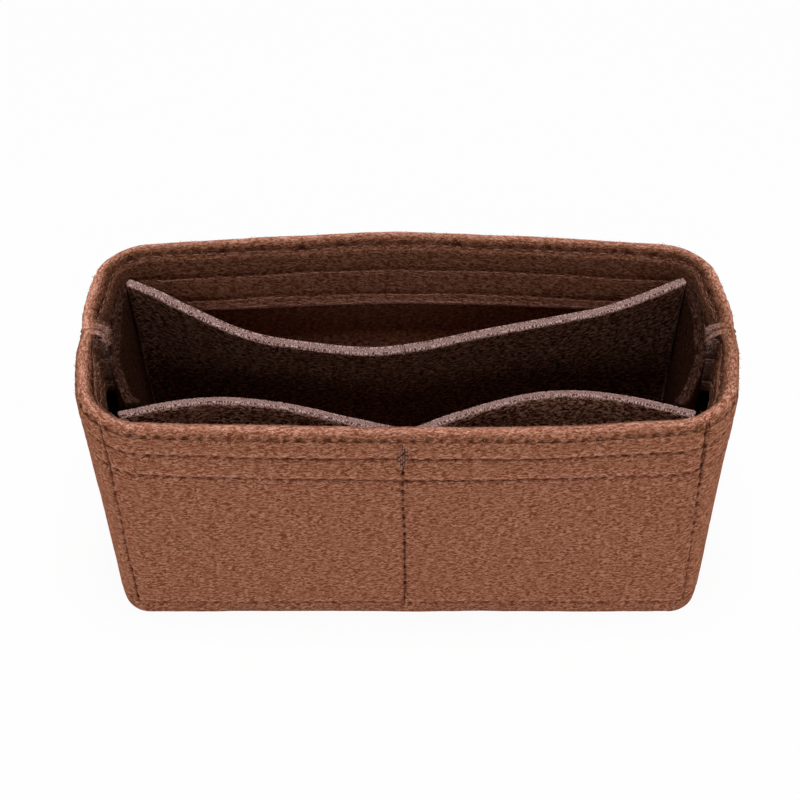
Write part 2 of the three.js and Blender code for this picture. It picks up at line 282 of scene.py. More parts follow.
def outline_point(place, z, inset, back):
    """The point of the outline at a place from -1, the left seam, to 1, the right one."""
    plan = plan_at(z, back)
    radius, centre_x, centre_y = inset_plan(plan, inset)
    long_run, corner_run, end_run = outline_runs(z, back)
    run = np.abs(place) * (long_run + corner_run + end_run)
    turn = np.clip((run - long_run) / plan.radius, 0, math.pi / 2)
    past_corner = np.clip((run - long_run - corner_run) / end_run, 0, 1)
    x = centre_x * np.minimum(run / long_run, 1) + radius * np.sin(turn)
    y = centre_y + radius * np.cos(turn) - past_corner * (centre_y - insert().gap / 2)
    x, y = bowed(x, y, plan)
    side = 1 if back else -1
    return np.stack(np.broadcast_arrays(np.sign(place) * x, side * y, z), axis=-1)


def long_face_depth(x, z, inset, back):
    plan = plan_at(z, back)
    return bowed(np.abs(x), plan.half_depth - inset, plan)[1]


def end_face_reach(y, z, inset):
    plan = plan_at(z, y > 0)
    radius, centre_x, centre_y = inset_plan(plan, inset)
    into_corner = np.maximum(abs(y) - centre_y, 0)
    across = np.sqrt(np.maximum(radius ** 2 - into_corner ** 2, 0))
    return bowed(centre_x + across, abs(y), plan)[0]


# Meshes of felt

def spaced(start, end, step, lines=(), cluster=()):
    """Places from start to end, no further apart than step, with a cluster round each line."""
    marks = {start, end}
    for line in lines:
        for offset in cluster:
            for mark in (line - offset, line + offset):
                if start < mark < end:
                    marks.add(mark)
    marks = sorted(marks)
    places = [start]
    for a, b in zip(marks, marks[1:]):
        steps = max(math.ceil((b - a) / step - 0.01), 1)
        places.extend(a + (b - a) * i / steps for i in range(1, steps + 1))
    return np.array(places)


def grid_normals(points):
    """Unit normals of a grid of points, rows upwards and columns to the right."""
    along = np.gradient(points, axis=1)
    upwards = np.gradient(points, axis=0)
    normals = np.cross(along, upwards)
    return normals / np.maximum(np.linalg.norm(normals, axis=-1, keepdims=True), 1e-12)


def soft_noise(points, size, seed):
    """Smooth noise from -1 to 1 whose lumps are about size wide, one value for each point."""
    shift = Vector((7.3 * seed, 3.1 * seed, 5.7 * seed))
    flat = points.reshape(-1, 3) / size
    values = [noise.noise(Vector(point) + shift) for point in flat]
    return np.array(values).reshape(points.shape[:-1])


def rounded_half(distance, round_radius=None):
    """Half the felt's thickness at a distance from its cut edge."""
    if round_radius is None:
        round_radius = insert().edge_round
    near = 1 - np.clip(distance / round_radius, 0, 1)
    return insert().felt / 2 - round_radius * (1 - np.sqrt(1 - near ** 2))


def edge_distances(across, up):
    """Distance of every point of a grid from the nearest edge of its sheet."""
    aside = np.minimum(across - across[0], across[-1] - across)
    upright = np.minimum(up - up[0], up[-1] - up)
    return np.minimum(aside[None, :], upright[:, None])


def signed_volume(points, quads):
    a, b, c, d = (points[quads[:, i]] for i in range(4))
    return np.sum(a * np.cross(b, c)) + np.sum(a * np.cross(c, d))


EDGE_STEPS = 4


def perimeter(rows, columns):
    """Grid places all the way round a sheet, with the outward direction on the cloth."""
    places = [(0, c, 0, -1) for c in range(columns - 1)]
    places += [(r, columns - 1, 1, 0) for r in range(rows - 1)]
    places += [(rows - 1, c, 0, 1) for c in range(columns - 1, 0, -1)]
    places += [(r, 0, -1, 0) for r in range(rows - 1, 0, -1)]
    return np.array(places)


def grid_quads(numbers):
    """Quads of a grid of vertex numbers."""
    return np.stack([numbers[:-1, :-1], numbers[:-1, 1:], numbers[1:, 1:], numbers[1:, :-1]],
                    axis=-1).reshape(-1, 4)


def felt_mesh(name, face, back, cloth, back_cloth=None, press_and_painted_light=None, worn=None, cut_share=1.0,
              shade_both_faces=False):
    """A closed sheet of felt between two grids of points, with a rounded cut edge round it.

    cloth and back_cloth hold the place of each point on the flat cloth, in metres, worn how far
    the pale fibres of a cut show on the faces, and cut_share how much they show on the cut edge.
    The array after the maps is painted light: from 0 to 1 how deep the face is painted in shade,
    as in the grooves of the stitches and on the inner panels, and below 0 how far it is painted
    pale as a highlight. When the last flag is set, the back face and the cut edge are painted in
    shade too.
    """
    if back_cloth is None:
        back_cloth = cloth
    rows, columns = face.shape[:2]
    count = rows * columns
    round_places = perimeter(rows, columns)
    rim_face = face[round_places[:, 0], round_places[:, 1]]
    rim_back = back[round_places[:, 0], round_places[:, 1]]
    rim_cloth = cloth[round_places[:, 0], round_places[:, 1]]
    strips = []
    strip_cloth = []
    for i in range(1, EDGE_STEPS):
        amount = i / EDGE_STEPS
        strips.append(lerp(rim_face, rim_back, amount))
    for i in range(EDGE_STEPS + 1):
        strip_cloth.append(rim_cloth + round_places[:, 2:] * insert().felt * i / EDGE_STEPS)
    points = np.concatenate([face.reshape(-1, 3), back.reshape(-1, 3)] + strips)
    numbers = np.arange(count).reshape(rows, columns)
    ring = [numbers[round_places[:, 0], round_places[:, 1]]]
    for i in range(EDGE_STEPS - 1):
        ring.append(2 * count + i * len(round_places) + np.arange(len(round_places)))
    ring.append(ring[0] + count)
    ring = np.stack(ring)
    ring = np.concatenate([ring, ring[:, :1]], axis=1)
    strip_cloth = np.stack(strip_cloth)
    strip_cloth = np.concatenate([strip_cloth, strip_cloth[:, :1]], axis=1)
    face_quads = grid_quads(numbers)
    edge_quads = grid_quads(ring)[:, ::-1]
    quads = np.concatenate([face_quads, (face_quads + count)[:, ::-1], edge_quads])
    cloth_flat = cloth.reshape(-1, 2)
    edge_numbers = grid_quads(np.arange(ring.size).reshape(ring.shape))[:, ::-1]
    loops = np.concatenate([
        cloth_flat[face_quads],
        back_cloth.reshape(-1, 2)[face_quads[:, ::-1]] + BACK_OF_CLOTH,
        strip_cloth.reshape(-1, 2)[edge_numbers]])
    if signed_volume(points, quads) < 0:
        quads = quads[:, ::-1]
        loops = loops[:, ::-1]
    cut = np.full(len(points), cut_share)
    cut[:2 * count] = 0 if worn is None else np.tile(worn.reshape(-1), 2)
    mesh = bpy.data.meshes.new(name)
    mesh.from_pydata(points.tolist(), [], quads.tolist())
    mesh.uv_layers.new(name=CLOTH_MAP).data.foreach_set("uv", loops.reshape(-1))
    mesh.attributes.new(CUT_ATTRIBUTE, 'FLOAT', 'POINT').data.foreach_set("value", cut)
    # Painted shade and highlight, for the material to read
    painted_light = np.zeros(len(points))
    painted_light[:count] = press_and_painted_light.reshape(-1)
    if shade_both_faces:
        painted_light[count:2 * count] = press_and_painted_light.reshape(-1)
        painted_light[2 * count:] = np.min(press_and_painted_light)
    mesh.attributes.new(PAINTED_LIGHT_ATTRIBUTE, 'FLOAT', 'POINT').data.foreach_set("value", painted_light)
    mesh.shade_smooth()
    mesh.validate()
    return mesh


BACK_OF_CLOTH = np.array((0.41, 0.23))


def put(name, mesh, material):
    """Links a mesh as an object at the origin, with its material."""
    piece = bpy.data.objects.new(name, mesh)
    if material is not None:
        mesh.materials.append(material)
    bpy.context.scene.collection.objects.link(piece)
    return piece


# How the soft insert has settled: the base a little to one side, the corners a little uneven

BASE_SHIFT = 1.2 * MM
CORNER_TUCK = 0.9 * MM
TUCK_HEIGHT = 8 * MM
RIGHT_SWELL = 1.1 * MM
RIGHT_SWELL_REACH = 14 * MM
LEFT_CORNER_TUCK = 0.9 * MM
SIDE_START = 60 * MM
SINK_FALL = 8
# Where the front rim sinks inwards: how far, at which x, and its reach
FRONT_SINKS = ((1.05 * MM, -10 * MM, 38 * MM), (1.1 * MM, 66 * MM, 18 * MM))


def settled(points):
    """Moves points of any piece as the whole insert has settled."""
    x, y, z = (points[..., i].copy() for i in range(3))
    rise = np.clip(z / fold_height(), 0, 1)
    on_right = np.clip((x - SIDE_START) / (insert().rim_length / 2 - SIDE_START), 0, 1)
    on_left = np.clip((-x - SIDE_START) / (insert().rim_length / 2 - SIDE_START), 0, 1)
    near_foot = np.clip(1 - z / TUCK_HEIGHT, 0, 1) ** 2
    swell = RIGHT_SWELL * rise * on_right * np.exp(-(y / RIGHT_SWELL_REACH) ** 2)
    front = np.clip(-y / insert().rim_front, 0, 1) ** 2
    for depth, middle, reach in FRONT_SINKS:
        y = y + depth * rise ** SINK_FALL * front * np.exp(-((x - middle) / reach) ** 2)
    x = x + BASE_SHIFT * (1 - rise) + swell
    x = x + LEFT_CORNER_TUCK * rise * on_left * front
    x = x - CORNER_TUCK * near_foot * (on_right - on_left)
    return np.stack([x, y, np.maximum(z, 0)], axis=-1)


# Outer wraps: one sheet of felt each, folded inwards over its own top

WRAP_STEP = 0.95 * MM
WALL_STEP = 1.3 * MM
SEAM_WALL_STEP = 0.85 * MM
FOLD_STEPS = 10
ROW_CLUSTER = (0, 0.35 * MM, 0.75 * MM, 1.3 * MM)
SEAM_CLUSTER = (0, 0.25 * MM, 0.5 * MM, 0.85 * MM, 1.3 * MM)
EDGE_CLUSTER = (0, 0.12 * MM, 0.4 * MM, 0.8 * MM)


def row_depths(back):
    return BACK_ROW_DEPTHS if back else FRONT_ROW_DEPTHS


def fold_length():
    """Length of the felt's middle round the fold."""
    return math.pi * (fold_radius() - insert().felt / 2)


def wrap_lengths():
    """Lengths of the felt's middle at the end of the wall, of the fold and of the hem."""
    wall = fold_height()
    hem = insert().hem - fold_radius()
    return wall, wall + fold_length(), wall + fold_length() + hem


def level_of_depth(depth, on_hem):
    """Place along the felt's middle of a row at a depth under the top of the rim."""
    radius = fold_radius()
    wall, fold, _ = wrap_lengths()
    if depth < radius:
        turn = math.asin(1 - depth / radius)
        from_wall = turn * (radius - insert().felt / 2)
    else:
        from_wall = radius - depth
    return fold - from_wall if on_hem else wall + from_wall


def wrap_levels(back):
    wall, fold, hem = wrap_lengths()
    rows = [level_of_depth(depth, False) for depth in row_depths(back)]
    hem_rows = [level_of_depth(depth, True) for depth in row_depths(back)]
    edges = spaced(0, wall, WALL_STEP, (0,), EDGE_CLUSTER)
    lines = [stitches().bottom_row] + rows
    up = spaced(0, wall, WALL_STEP if back else SEAM_WALL_STEP, lines, ROW_CLUSTER)
    up = np.union1d(up, edges[edges <= EDGE_CLUSTER[-1] + 1e-9])
    over = np.linspace(wall, fold, FOLD_STEPS + 1)[1:]
    down = spaced(fold, hem, WALL_STEP, hem_rows, ROW_CLUSTER)
    down = np.union1d(down, hem - np.array(EDGE_CLUSTER))
    return np.concatenate([up, over, down[1:]])


def section_at(level):
    """Inset and height of the felt's middle, and the direction of its outer face."""
    wall, fold, _ = wrap_lengths()
    radius = fold_radius()
    middle = radius - insert().felt / 2
    turn = np.clip((level - wall) / middle, 0, math.pi)
    aside = -np.cos(turn)
    upwards = np.where((level > wall) & (level < fold), np.sin(turn), 0)
    inset = radius + middle * aside
    z = np.minimum(level, wall) + middle * np.sin(turn) - np.maximum(level - fold, 0)
    return inset, z, aside, upwards


def seam_places(z, x_at_rim, x_at_foot, back):
    """Places on the outline of an upright seam, one for each height."""
    tries = np.linspace(0, 1, 240)
    seam_x = lerp(x_at_foot, x_at_rim, np.clip(z / fold_height(), 0, 1))
    found = []
    for height, x in zip(z, seam_x):
        reach = outline_point(tries, height, 0, back)[:, 0]
        found.append(np.interp(abs(x), reach, tries) * np.sign(x))
    return np.array(found)


# Upright seams of the front, by their x at the rim and at the foot
CORNER_SEAMS = ((-78.5 * MM, -76.2 * MM), (76.6 * MM, 77.2 * MM))
CENTRE_SEAM = (-0.9 * MM, -1.3 * MM)
CENTRE_SEAM_TOP = 4.7 * MM


class WrapFace:
    """The outer face of a wrap as a grid, which can be asked for a point and its normal."""

    def __init__(self, wrap, back):
        self.places = wrap.places
        self.levels = wrap.levels
        self.points = wrap.face
        self.normals = grid_normals(wrap.face) * (-1 if back else 1)

    def at(self, place, level):
        column = np.interp(place, self.places, np.arange(len(self.places)))
        row = np.interp(level, self.levels, np.arange(len(self.levels)))
        point = bilinear(self.points, row, column)
        normal = bilinear(self.normals, row, column)
        return point, normal / np.linalg.norm(normal, axis=-1, keepdims=True)


def bilinear(grid, row, column):
    r = np.minimum(row.astype(int), grid.shape[0] - 2)
    c = np.minimum(column.astype(int), grid.shape[1] - 2)
    up = (row - r)[:, None]
    across = (column - c)[:, None]
    low = lerp(grid[r, c], grid[r, c + 1], across)
    high = lerp(grid[r + 1, c], grid[r + 1, c + 1], across)
    return lerp(low, high, up)


def groove(distance, reach_share=1.0):
    """How far a row of stitches presses the felt at a distance from it, from 0 to 1."""
    return np.exp(-(distance / stitches().groove_reach / reach_share) ** 2)


def wander(run, seed):
    """How far a seam sewn by hand and eye strays from its line, at places along it."""
    turns = np.asarray(run) / WANDER_LENGTH
    return WANDER * (np.sin(turns + 1.7 * seed) + 0.6 * np.sin(2.3 * turns + 2.9 * seed))


def stitch_pull(run, row):
    """How hard each place of a row is pulled in, most at one place of every stitch."""
    sewn = run[-1]
    pitch = sewn / math.floor(sewn / row.pitch)
    number = np.round(run / pitch - row.hole_share)
    distance = run - (number + row.hole_share) * pitch
    firm = np.random.default_rng(row.seed).uniform(*FIRMNESS, int(number.max()) + 2)
    firmness = firm[number.astype(int)]
    return row.between + (firmness - row.between) * np.exp(-(distance / row.hole_reach) ** 2)


FIRMNESS = (0.75, 1.2)
WANDER = 0.13 * MM
WANDER_LENGTH = 9 * MM


def wrap_places(back):
    """Places of the columns of a wrap, closer together at its seams and its two ends."""
    half_run = sum(outline_runs(fold_height(), back))
    lines = [0.0]
    if not back:
        lines += [x / half_run for pair in CORNER_SEAMS for x in pair]
        lines += [x / half_run for x in CENTRE_SEAM]
    cluster = np.array(SEAM_CLUSTER) / half_run
    places = spaced(-1.0, 1.0, WRAP_STEP / half_run, lines, cluster)
    ends = 1 - np.array(EDGE_CLUSTER + ALLOWANCE_MARKS) / half_run
    return np.union1d(places, np.concatenate([ends, -ends]))


SEAM_EDGE_ROUND = 0.15 * MM
SEAM_CLOSING = 0.12 * MM
SEAM_CLOSING_REACH = 1.2 * MM

# The side seam's allowances stand inwards as a fin, and the hem beside it is drawn thin
FIN_WIDTH = 1.8 * MM
BACK_FIN_WIDTH = 3.0 * MM
FIN_EDGE = 0.3 * MM
RECESS = 1.9 * MM
BACK_RECESS = 0.9 * MM
RECESS_REACH = 7 * MM
ALLOWANCE_MARKS = (1.5 * MM, 1.65 * MM, 1.8 * MM, 1.95 * MM, 2.1 * MM, 2.5 * MM, 2.7 * MM,
                   2.85 * MM, 3.0 * MM, 3.15 * MM, 3.3 * MM, 3.7 * MM)
FIN_PALE_DEPTH = 2.2 * MM
# Painted highlight on the folds and on the back hem's lip: where on the fold it is, how far it
# reaches, how it fades at the right end, and how deep the lip is
RIM_HIGHLIGHT_MIDDLE = 0.56
RIM_HIGHLIGHT_REACH = 0.19
RIGHT_HIGHLIGHT_FADE = 0.85
RIGHT_HIGHLIGHT_FALL = 10
BACK_HIGHLIGHT = 0.95
BACK_HIGHLIGHT_MIDDLE = 0.4
BACK_HIGHLIGHT_REACH = 0.28
HEM_LIP = 2.6 * MM
HEM_LIP_HIGHLIGHT = 0.75
HEM_WEAR = 1.0 * MM


def seam_fin(aside, levels, back):
    """How far the face stands off its hem near the side seam, and where a cut shows on it."""
    wall, fold, hem = wrap_lengths()
    width = BACK_FIN_WIDTH if back else FIN_WIDTH
    recess = BACK_RECESS if back else RECESS
    start = lerp(wall, fold, 0.6)
    down = np.clip((levels - start) / (fold + FIN_EDGE - start), 0, 1)
    beside = aside - width
    in_fin = np.clip(0.5 - beside / FIN_EDGE, 0, 1)
    drawn = np.exp(-(np.maximum(beside, 0) / RECESS_REACH) ** 2)
    extra = insert().stand_off * in_fin - recess * (1 - in_fin) * drawn
    below_fold = np.clip(1 - (levels - fold) / FIN_PALE_DEPTH, 0, 1) * down
    pale_top = below_fold[:, None] * in_fin[None, :]
    pale_edge = down[:, None] * np.exp(-((beside + FIN_EDGE) / FIN_EDGE) ** 2)[None, :]
    pale_hem = np.exp(-((hem - levels) / HEM_WEAR) ** 2)[:, None] * np.ones_like(aside)[None, :]
    worn = np.maximum(np.maximum(pale_top, pale_edge) * 0.95, pale_hem * 0.3)
    return extra[None, :] * down[:, None], worn


def build_wrap(back):
    """Both faces of a wrap, as grids of points, with the places of the felt on flat cloth."""
    places = wrap_places(back)
    levels = wrap_levels(back)
    inset, z, aside, upwards = section_at(levels)
    half_run = sum(outline_runs(fold_height(), back))
    aside_distance = (1 - np.abs(places)) * half_run
    upright = np.minimum(levels, levels[-1] - levels)
    half = np.minimum(rounded_half(aside_distance, SEAM_EDGE_ROUND)[None, :],
                      rounded_half(upright)[:, None])
    wall, fold, _ = wrap_lengths()
    extra, worn = seam_fin(aside_distance, levels, back)
    place_grid = np.broadcast_to(places[None, :], half.shape)
    closing = SEAM_CLOSING * np.exp(-(aside_distance / SEAM_CLOSING_REACH) ** 2)

    def side(offset):
        face_inset = inset[:, None] + offset * aside[:, None]
        face_z = z[:, None] + offset * upwards[:, None]
        points = outline_point(place_grid, face_z, face_inset, back)
        points[..., 1] -= closing * (1 if back else -1)
        return points

    face = side(half + extra)
    inner = side(-half)
    normals = grid_normals(face)
    if back:
        normals = -normals
    lumps, press_and_painted_light = wrap_relief(places, levels, z, back, half_run, face)
    lift = lumps + np.where(press_and_painted_light > 0, -stitches().groove, -LIP_HEIGHT) * press_and_painted_light
    face = face + normals * lift[..., None]
    if not back:
        # Painted highlight: the fold of each rim, and the back hem's lip, are painted paler where
        # light catches them
        turned = ((levels - wall) / (fold - wall) - RIM_HIGHLIGHT_MIDDLE) / RIM_HIGHLIGHT_REACH
        painted_highlight = np.exp(-turned ** 4)
    else:
        turned = ((levels - wall) / (fold - wall) - BACK_HIGHLIGHT_MIDDLE) / BACK_HIGHLIGHT_REACH
        lip = np.clip(1 - (levels[-1] - levels) / HEM_LIP, 0, 1) ** 0.5
        painted_highlight = BACK_HIGHLIGHT * np.exp(-turned ** 4) + HEM_LIP_HIGHLIGHT * lip
    fade = 1 - RIGHT_HIGHLIGHT_FADE * np.clip(places, 0, 1) ** RIGHT_HIGHLIGHT_FALL
    press_and_painted_light = press_and_painted_light - painted_highlight[:, None] * fade[None, :] * (1 - np.clip(press_and_painted_light, 0, 1))
    over_fold = np.clip(levels - wall, 0, fold - wall)
    stretch = radius_of_fold_face() / (fold_radius() - insert().felt / 2) - 1

    up_and_down = np.cumsum(np.abs(np.diff(extra, axis=1, prepend=extra[:, :1])), axis=1)

    def cloth(extra_share, aside):
        run = levels + over_fold * extra_share
        return np.stack(np.broadcast_arrays(places[None, :] * half_run + aside, run[:, None]),
                        axis=-1)

    return SimpleNamespace(
        places=places, levels=levels, face=settled(face), inner=settled(inner), press_and_painted_light=press_and_painted_light,
        worn=worn,
        cloth=cloth(stretch, up_and_down), back_cloth=cloth(-stretch, 0))


def radius_of_fold_face():
    return fold_radius()


LUMP_HEIGHT = 0.22 * MM
LUMP_SIZE = 17 * MM
FINE_LUMP_HEIGHT = 0.07 * MM
FINE_LUMP_SIZE = 4.5 * MM


# How firmly each of the hem's rows draws the felt in, on the wall and on the hem; the same amounts
# paint shade into the felt along each row and at its holes
WALL_ROW_PULLS = (0.9, 1.05, 1.0)
HEM_ROW_PULLS = (0.9, 0.5, 0.5)
RIM_ROW_REACH = 1.6
RIM_ROW_BETWEEN = 0.85
HEM_GROOVE_SHIFT = 0.5 * MM
ROW_BETWEEN = 0.25
ROW_HOLE_REACH = 1.0 * MM
ROW_END = 0.985
BOTTOM_ROW_PULL = 0.8
SEAM_PULL = 1.25
SEAM_BETWEEN = 0.35
SEAM_HOLE_REACH = 0.65 * MM
SEAM_REACH = 0.8
# Beside each row the felt bulges a little, and that lip is painted paler as a highlight
LIP_OFFSET = 1.1 * MM
LIP_SHARE = 0.4
LIP_HEIGHT = 0.12 * MM


def hem_rows(back, on_hem):
    """The rows along a wrap: three through wall and hem, and one along the foot."""
    rows = []
    pulls = HEM_ROW_PULLS if on_hem else WALL_ROW_PULLS
    for number, depth in enumerate(row_depths(back)):
        at_rim = on_hem and number == 0
        rows.append(SimpleNamespace(
            level=level_of_depth(depth, on_hem), pull=pulls[number], seed=number + 3 * back,
            reach=RIM_ROW_REACH if at_rim else 1.0, pitch=stitches().pitch,
            shift=HEM_GROOVE_SHIFT if on_hem else 0, hole_share=0,
            between=RIM_ROW_BETWEEN if at_rim else ROW_BETWEEN, hole_reach=ROW_HOLE_REACH))
    if not on_hem:
        rows.append(SimpleNamespace(
            level=stitches().bottom_row, pull=BOTTOM_ROW_PULL, seed=6 + back, reach=1.0, shift=0,
            hole_share=0,
            pitch=stitches().pitch, between=ROW_BETWEEN, hole_reach=ROW_HOLE_REACH))
    return rows


def line_run(points):
    steps = np.linalg.norm(np.diff(points, axis=0), axis=1)
    return np.concatenate([[0], np.cumsum(steps)])


def wrap_relief(places, levels, z, back, half_run, face):
    """Lumps of a wrap's outer face, and how far its stitches draw each point in or out, which is
    also painted as shade in the grooves and as a highlight on the lips.
    """
    run = places * half_run
    flat = np.stack(np.broadcast_arrays(run[None, :], levels[:, None], 1.0 * back), axis=-1)
    lumps = LUMP_HEIGHT * soft_noise(flat, LUMP_SIZE, 1) + FINE_LUMP_HEIGHT * soft_noise(
        flat, FINE_LUMP_SIZE, 2)
    press_and_painted_light = np.zeros_like(lumps)
    raised = np.zeros_like(lumps)
    sewn = np.abs(places) <= ROW_END + 1e-9
    for row in hem_rows(back, False) + hem_rows(back, True):
        nearest = np.argmin(np.abs(levels - row.level))
        pull = np.zeros_like(run)
        pull[sewn] = row.pull * stitch_pull(line_run(face[nearest][sewn]), row)
        distance = levels[:, None] - (row.level - row.shift + wander(run, row.seed))[None, :]
        press_and_painted_light = np.maximum(press_and_painted_light, groove(distance, row.reach) * pull[None, :])
        raised = np.maximum(raised, groove(distance - LIP_OFFSET) * pull[None, :])
    if not back:
        for seam in upright_seams():
            seam_place = seam_places(np.minimum(z, wrap_lengths()[0]), seam.rim, seam.foot, back)
            inside = (levels <= seam.top) & (levels >= stitches().bottom_row)
            pull = np.zeros_like(levels)
            pull[inside] = SEAM_PULL * stitch_pull(
                levels[inside][-1] - levels[inside][::-1], seam)[::-1]
            stray = wander(levels, seam.seed)
            distance = (places[None, :] - seam_place[:, None]) * half_run - stray[:, None]
            press_and_painted_light = np.maximum(press_and_painted_light, groove(distance, SEAM_REACH) * pull[:, None])
        for number, (aside, start, end) in enumerate(BACK_TACKS):
            below_top = seam.top - levels
            inside = (below_top >= start) & (below_top <= end)
            turns = below_top / (stitches().seam_pitch * BACK_TACK_SHARE) + 0.37 * number
            pull = TACK_PULL * inside * (0.5 + 0.5 * np.cos(2 * math.pi * turns))
            press_and_painted_light = np.maximum(press_and_painted_light, groove(distance - aside, TACK_REACH) * pull[:, None])
    return lumps, press_and_painted_light - LIP_SHARE * raised * (1 - np.clip(press_and_painted_light, 0, 1))


def upright_seams():
    """The three upright seams of the front wrap, by their place at the rim and at the foot."""
    tops = (wrap_lengths()[0], wrap_lengths()[0], level_of_depth(CENTRE_SEAM_TOP, False))
    return [SimpleNamespace(rim=rim, foot=foot, top=top, seed=8 + number,
                            pitch=stitches().seam_pitch, between=SEAM_BETWEEN,
                            hole_reach=SEAM_HOLE_REACH, hole_share=0.5)
            for number, ((rim, foot), top) in enumerate(zip((*CORNER_SEAMS, CENTRE_SEAM), tops))]


def wrap_flat_size(back):
    half_run = sum(outline_runs(fold_height() / 2, back))
    return 2 * half_run, wrap_lengths()[2]


# Inner panels: sheets of felt ruled from a foot line up to a top line

def share_at(shares, amount):
    """A smooth curve through given shares, at one or more places."""
    known = np.array(shares, dtype=float)
    padded = np.vstack([2 * known[0] - known[1], known, 2 * known[-1] - known[-2]])
    curve = []
    for p0, p1, p2, p3 in zip(padded, padded[1:], padded[2:], padded[3:]):
        for t in np.linspace(0, 1, 40, endpoint=False):
            curve.append(spline_point(p0, p1, p2, p3, t))
    curve.append(known[-1])
    curve = np.array(curve)
    return np.interp(amount, curve[:, 0], curve[:, 1])


def spline_point(p0, p1, p2, p3, t):
    """A Catmull-Rom point between p1 and p2."""
    slope_in = (p2 - p0) / 2
    slope_out = (p3 - p1) / 2
    return ((2 * t ** 3 - 3 * t ** 2 + 1) * p1 + (t ** 3 - 2 * t ** 2 + t) * slope_in
            + (3 * t ** 2 - 2 * t ** 3) * p2 + (t ** 3 - t ** 2) * slope_out)


def margin_inside():
    return 2 * insert().felt + insert().gap


def panel_inset():
    """Inset of the middle of a panel that lies against the hem."""
    return margin_inside() + insert().gap + insert().felt / 2


def foot_height():
    lean = panels().divider_lean / panels().divider_height
    return insert().felt + panels().foot_clearance + insert().felt / 2 * lean


def divider_end_depth():
    return insert().rim_back - panels().divider_setback


def end_foot_x(y):
    return end_face_reach(y, foot_height(), panel_inset())


def end_top_x(y, along):
    z = insert().height - panels().end_drop
    mouth = panels().end_mouth * share_at(END_MOUTH_SHARES, along)
    return end_face_reach(y, z, margin_inside() + mouth + insert().felt / 2)


def pocket_top_height():
    return insert().height - panels().pocket_drop


def pocket_foot_depth():
    return long_face_depth(0, foot_height(), panel_inset(), False)


def divider_foot_depth():
    return long_face_depth(0, foot_height(), panel_inset(), True)


def pocket_end():
    """Where the front pockets' top edge ends, in the front corner of the hem."""
    z = pocket_top_height()
    long_run, corner_run, end_run = outline_runs(z, False)
    turn_share = 1 - panels().pocket_end_turn
    place = (long_run + turn_share * corner_run) / (long_run + corner_run + end_run)
    inset = panel_inset() + panels().pocket_end_inset
    return outline_point(np.array(place), z, inset, False)


def pocket_top_depth(x):
    end = pocket_end()
    x = np.asarray(x, dtype=float)
    middle = long_face_depth(0, pocket_top_height(), panel_inset(), False)
    along = np.minimum(np.abs(x) / end[0], 1)
    bulge = np.where(x < 0, panels().left_bulge, panels().right_bulge)
    skew = np.where(x < 0, panels().left_skew, panels().right_skew)
    held = 1 - np.exp(-(x / panels().centre_seam) ** 2)
    return lerp(-middle, end[1], along) + bulge * held * np.sin(math.pi * along ** skew)


def line(x, y, z):
    return np.stack(np.broadcast_arrays(x, y, z), axis=-1).astype(float)


POCKET_CORNER_REACH = 2.0 * MM
POCKET_CORNER_FALL = 12


def front_pocket_lines(across):
    foot_reach = end_foot_x(0) - insert().gap
    side = 2 * across - 1
    x = side * pocket_end()[0]
    corner = POCKET_CORNER_REACH * np.sign(side) * np.abs(side) ** POCKET_CORNER_FALL
    foot = line((2 * across - 1) * foot_reach, -pocket_foot_depth(), foot_height())
    return foot, line(x + corner, pocket_top_depth(x), pocket_top_height())


def end_panel_lines(right):
    """Foot and top line of an end pocket panel, for places from its back to its front."""
    felt = insert().felt
    front_x = end_top_x(-pocket_foot_depth() + felt, 1)
    pocket_face = float(pocket_top_depth(right * (front_x - felt / 2)))
    top_front = pocket_face + felt / 2 + insert().gap
    foot_front = -pocket_foot_depth() + felt + insert().gap
    foot_back = divider_foot_depth() - felt / 2
    top_back = divider_end_depth() + panels().end_overlap
    top_z = insert().height - panels().end_drop

    def lines(across):
        top_y = lerp(top_back, top_front, across)
        foot_y = lerp(foot_back, foot_front, across)
        top_x = np.array([end_top_x(y, along) for y, along in zip(top_y, across)])
        foot_x = np.array([end_foot_x(y) for y in foot_y])
        return line(right * foot_x, foot_y, foot_height()), line(right * top_x, top_y, top_z)
    return lines


def divider_lines(across):
    room = insert().felt / 2 + panels().divider_clearance
    foot_reach = end_foot_x(0) - room
    top_reach = end_top_x(divider_end_depth(), 0) - room
    top_y = divider_end_depth() - panels().divider_lean * share_at(DIVIDER_DIP_SHARES, across)
    run = divider_foot_depth() - top_y
    top_z = foot_height() + np.sqrt(panels().divider_height ** 2 - run ** 2)
    x = 2 * across - 1
    lift = np.where(x < 0, LEFT_CORNER_LIFT, RIGHT_CORNER_LIFT)
    top_z = top_z + lift * np.exp(-((1 - np.abs(x)) / CORNER_LIFT_REACH) ** 2)
    return line(x * foot_reach, divider_foot_depth(), foot_height()), line(
        x * top_reach, top_y, top_z)


PANEL_STEP = 1.0 * MM
PANEL_ROW_STEP = 1.4 * MM
DIVIDER_SNIP = 0.495
LEFT_CORNER_LIFT = 1.2 * MM
RIGHT_CORNER_LIFT = 1.8 * MM
CORNER_LIFT_REACH = 0.16
SNIP_HALF_WIDTH = 0.4 * MM
SNIP_DEPTH = 1.3 * MM
EDGE_WEAR = 0.5 * MM


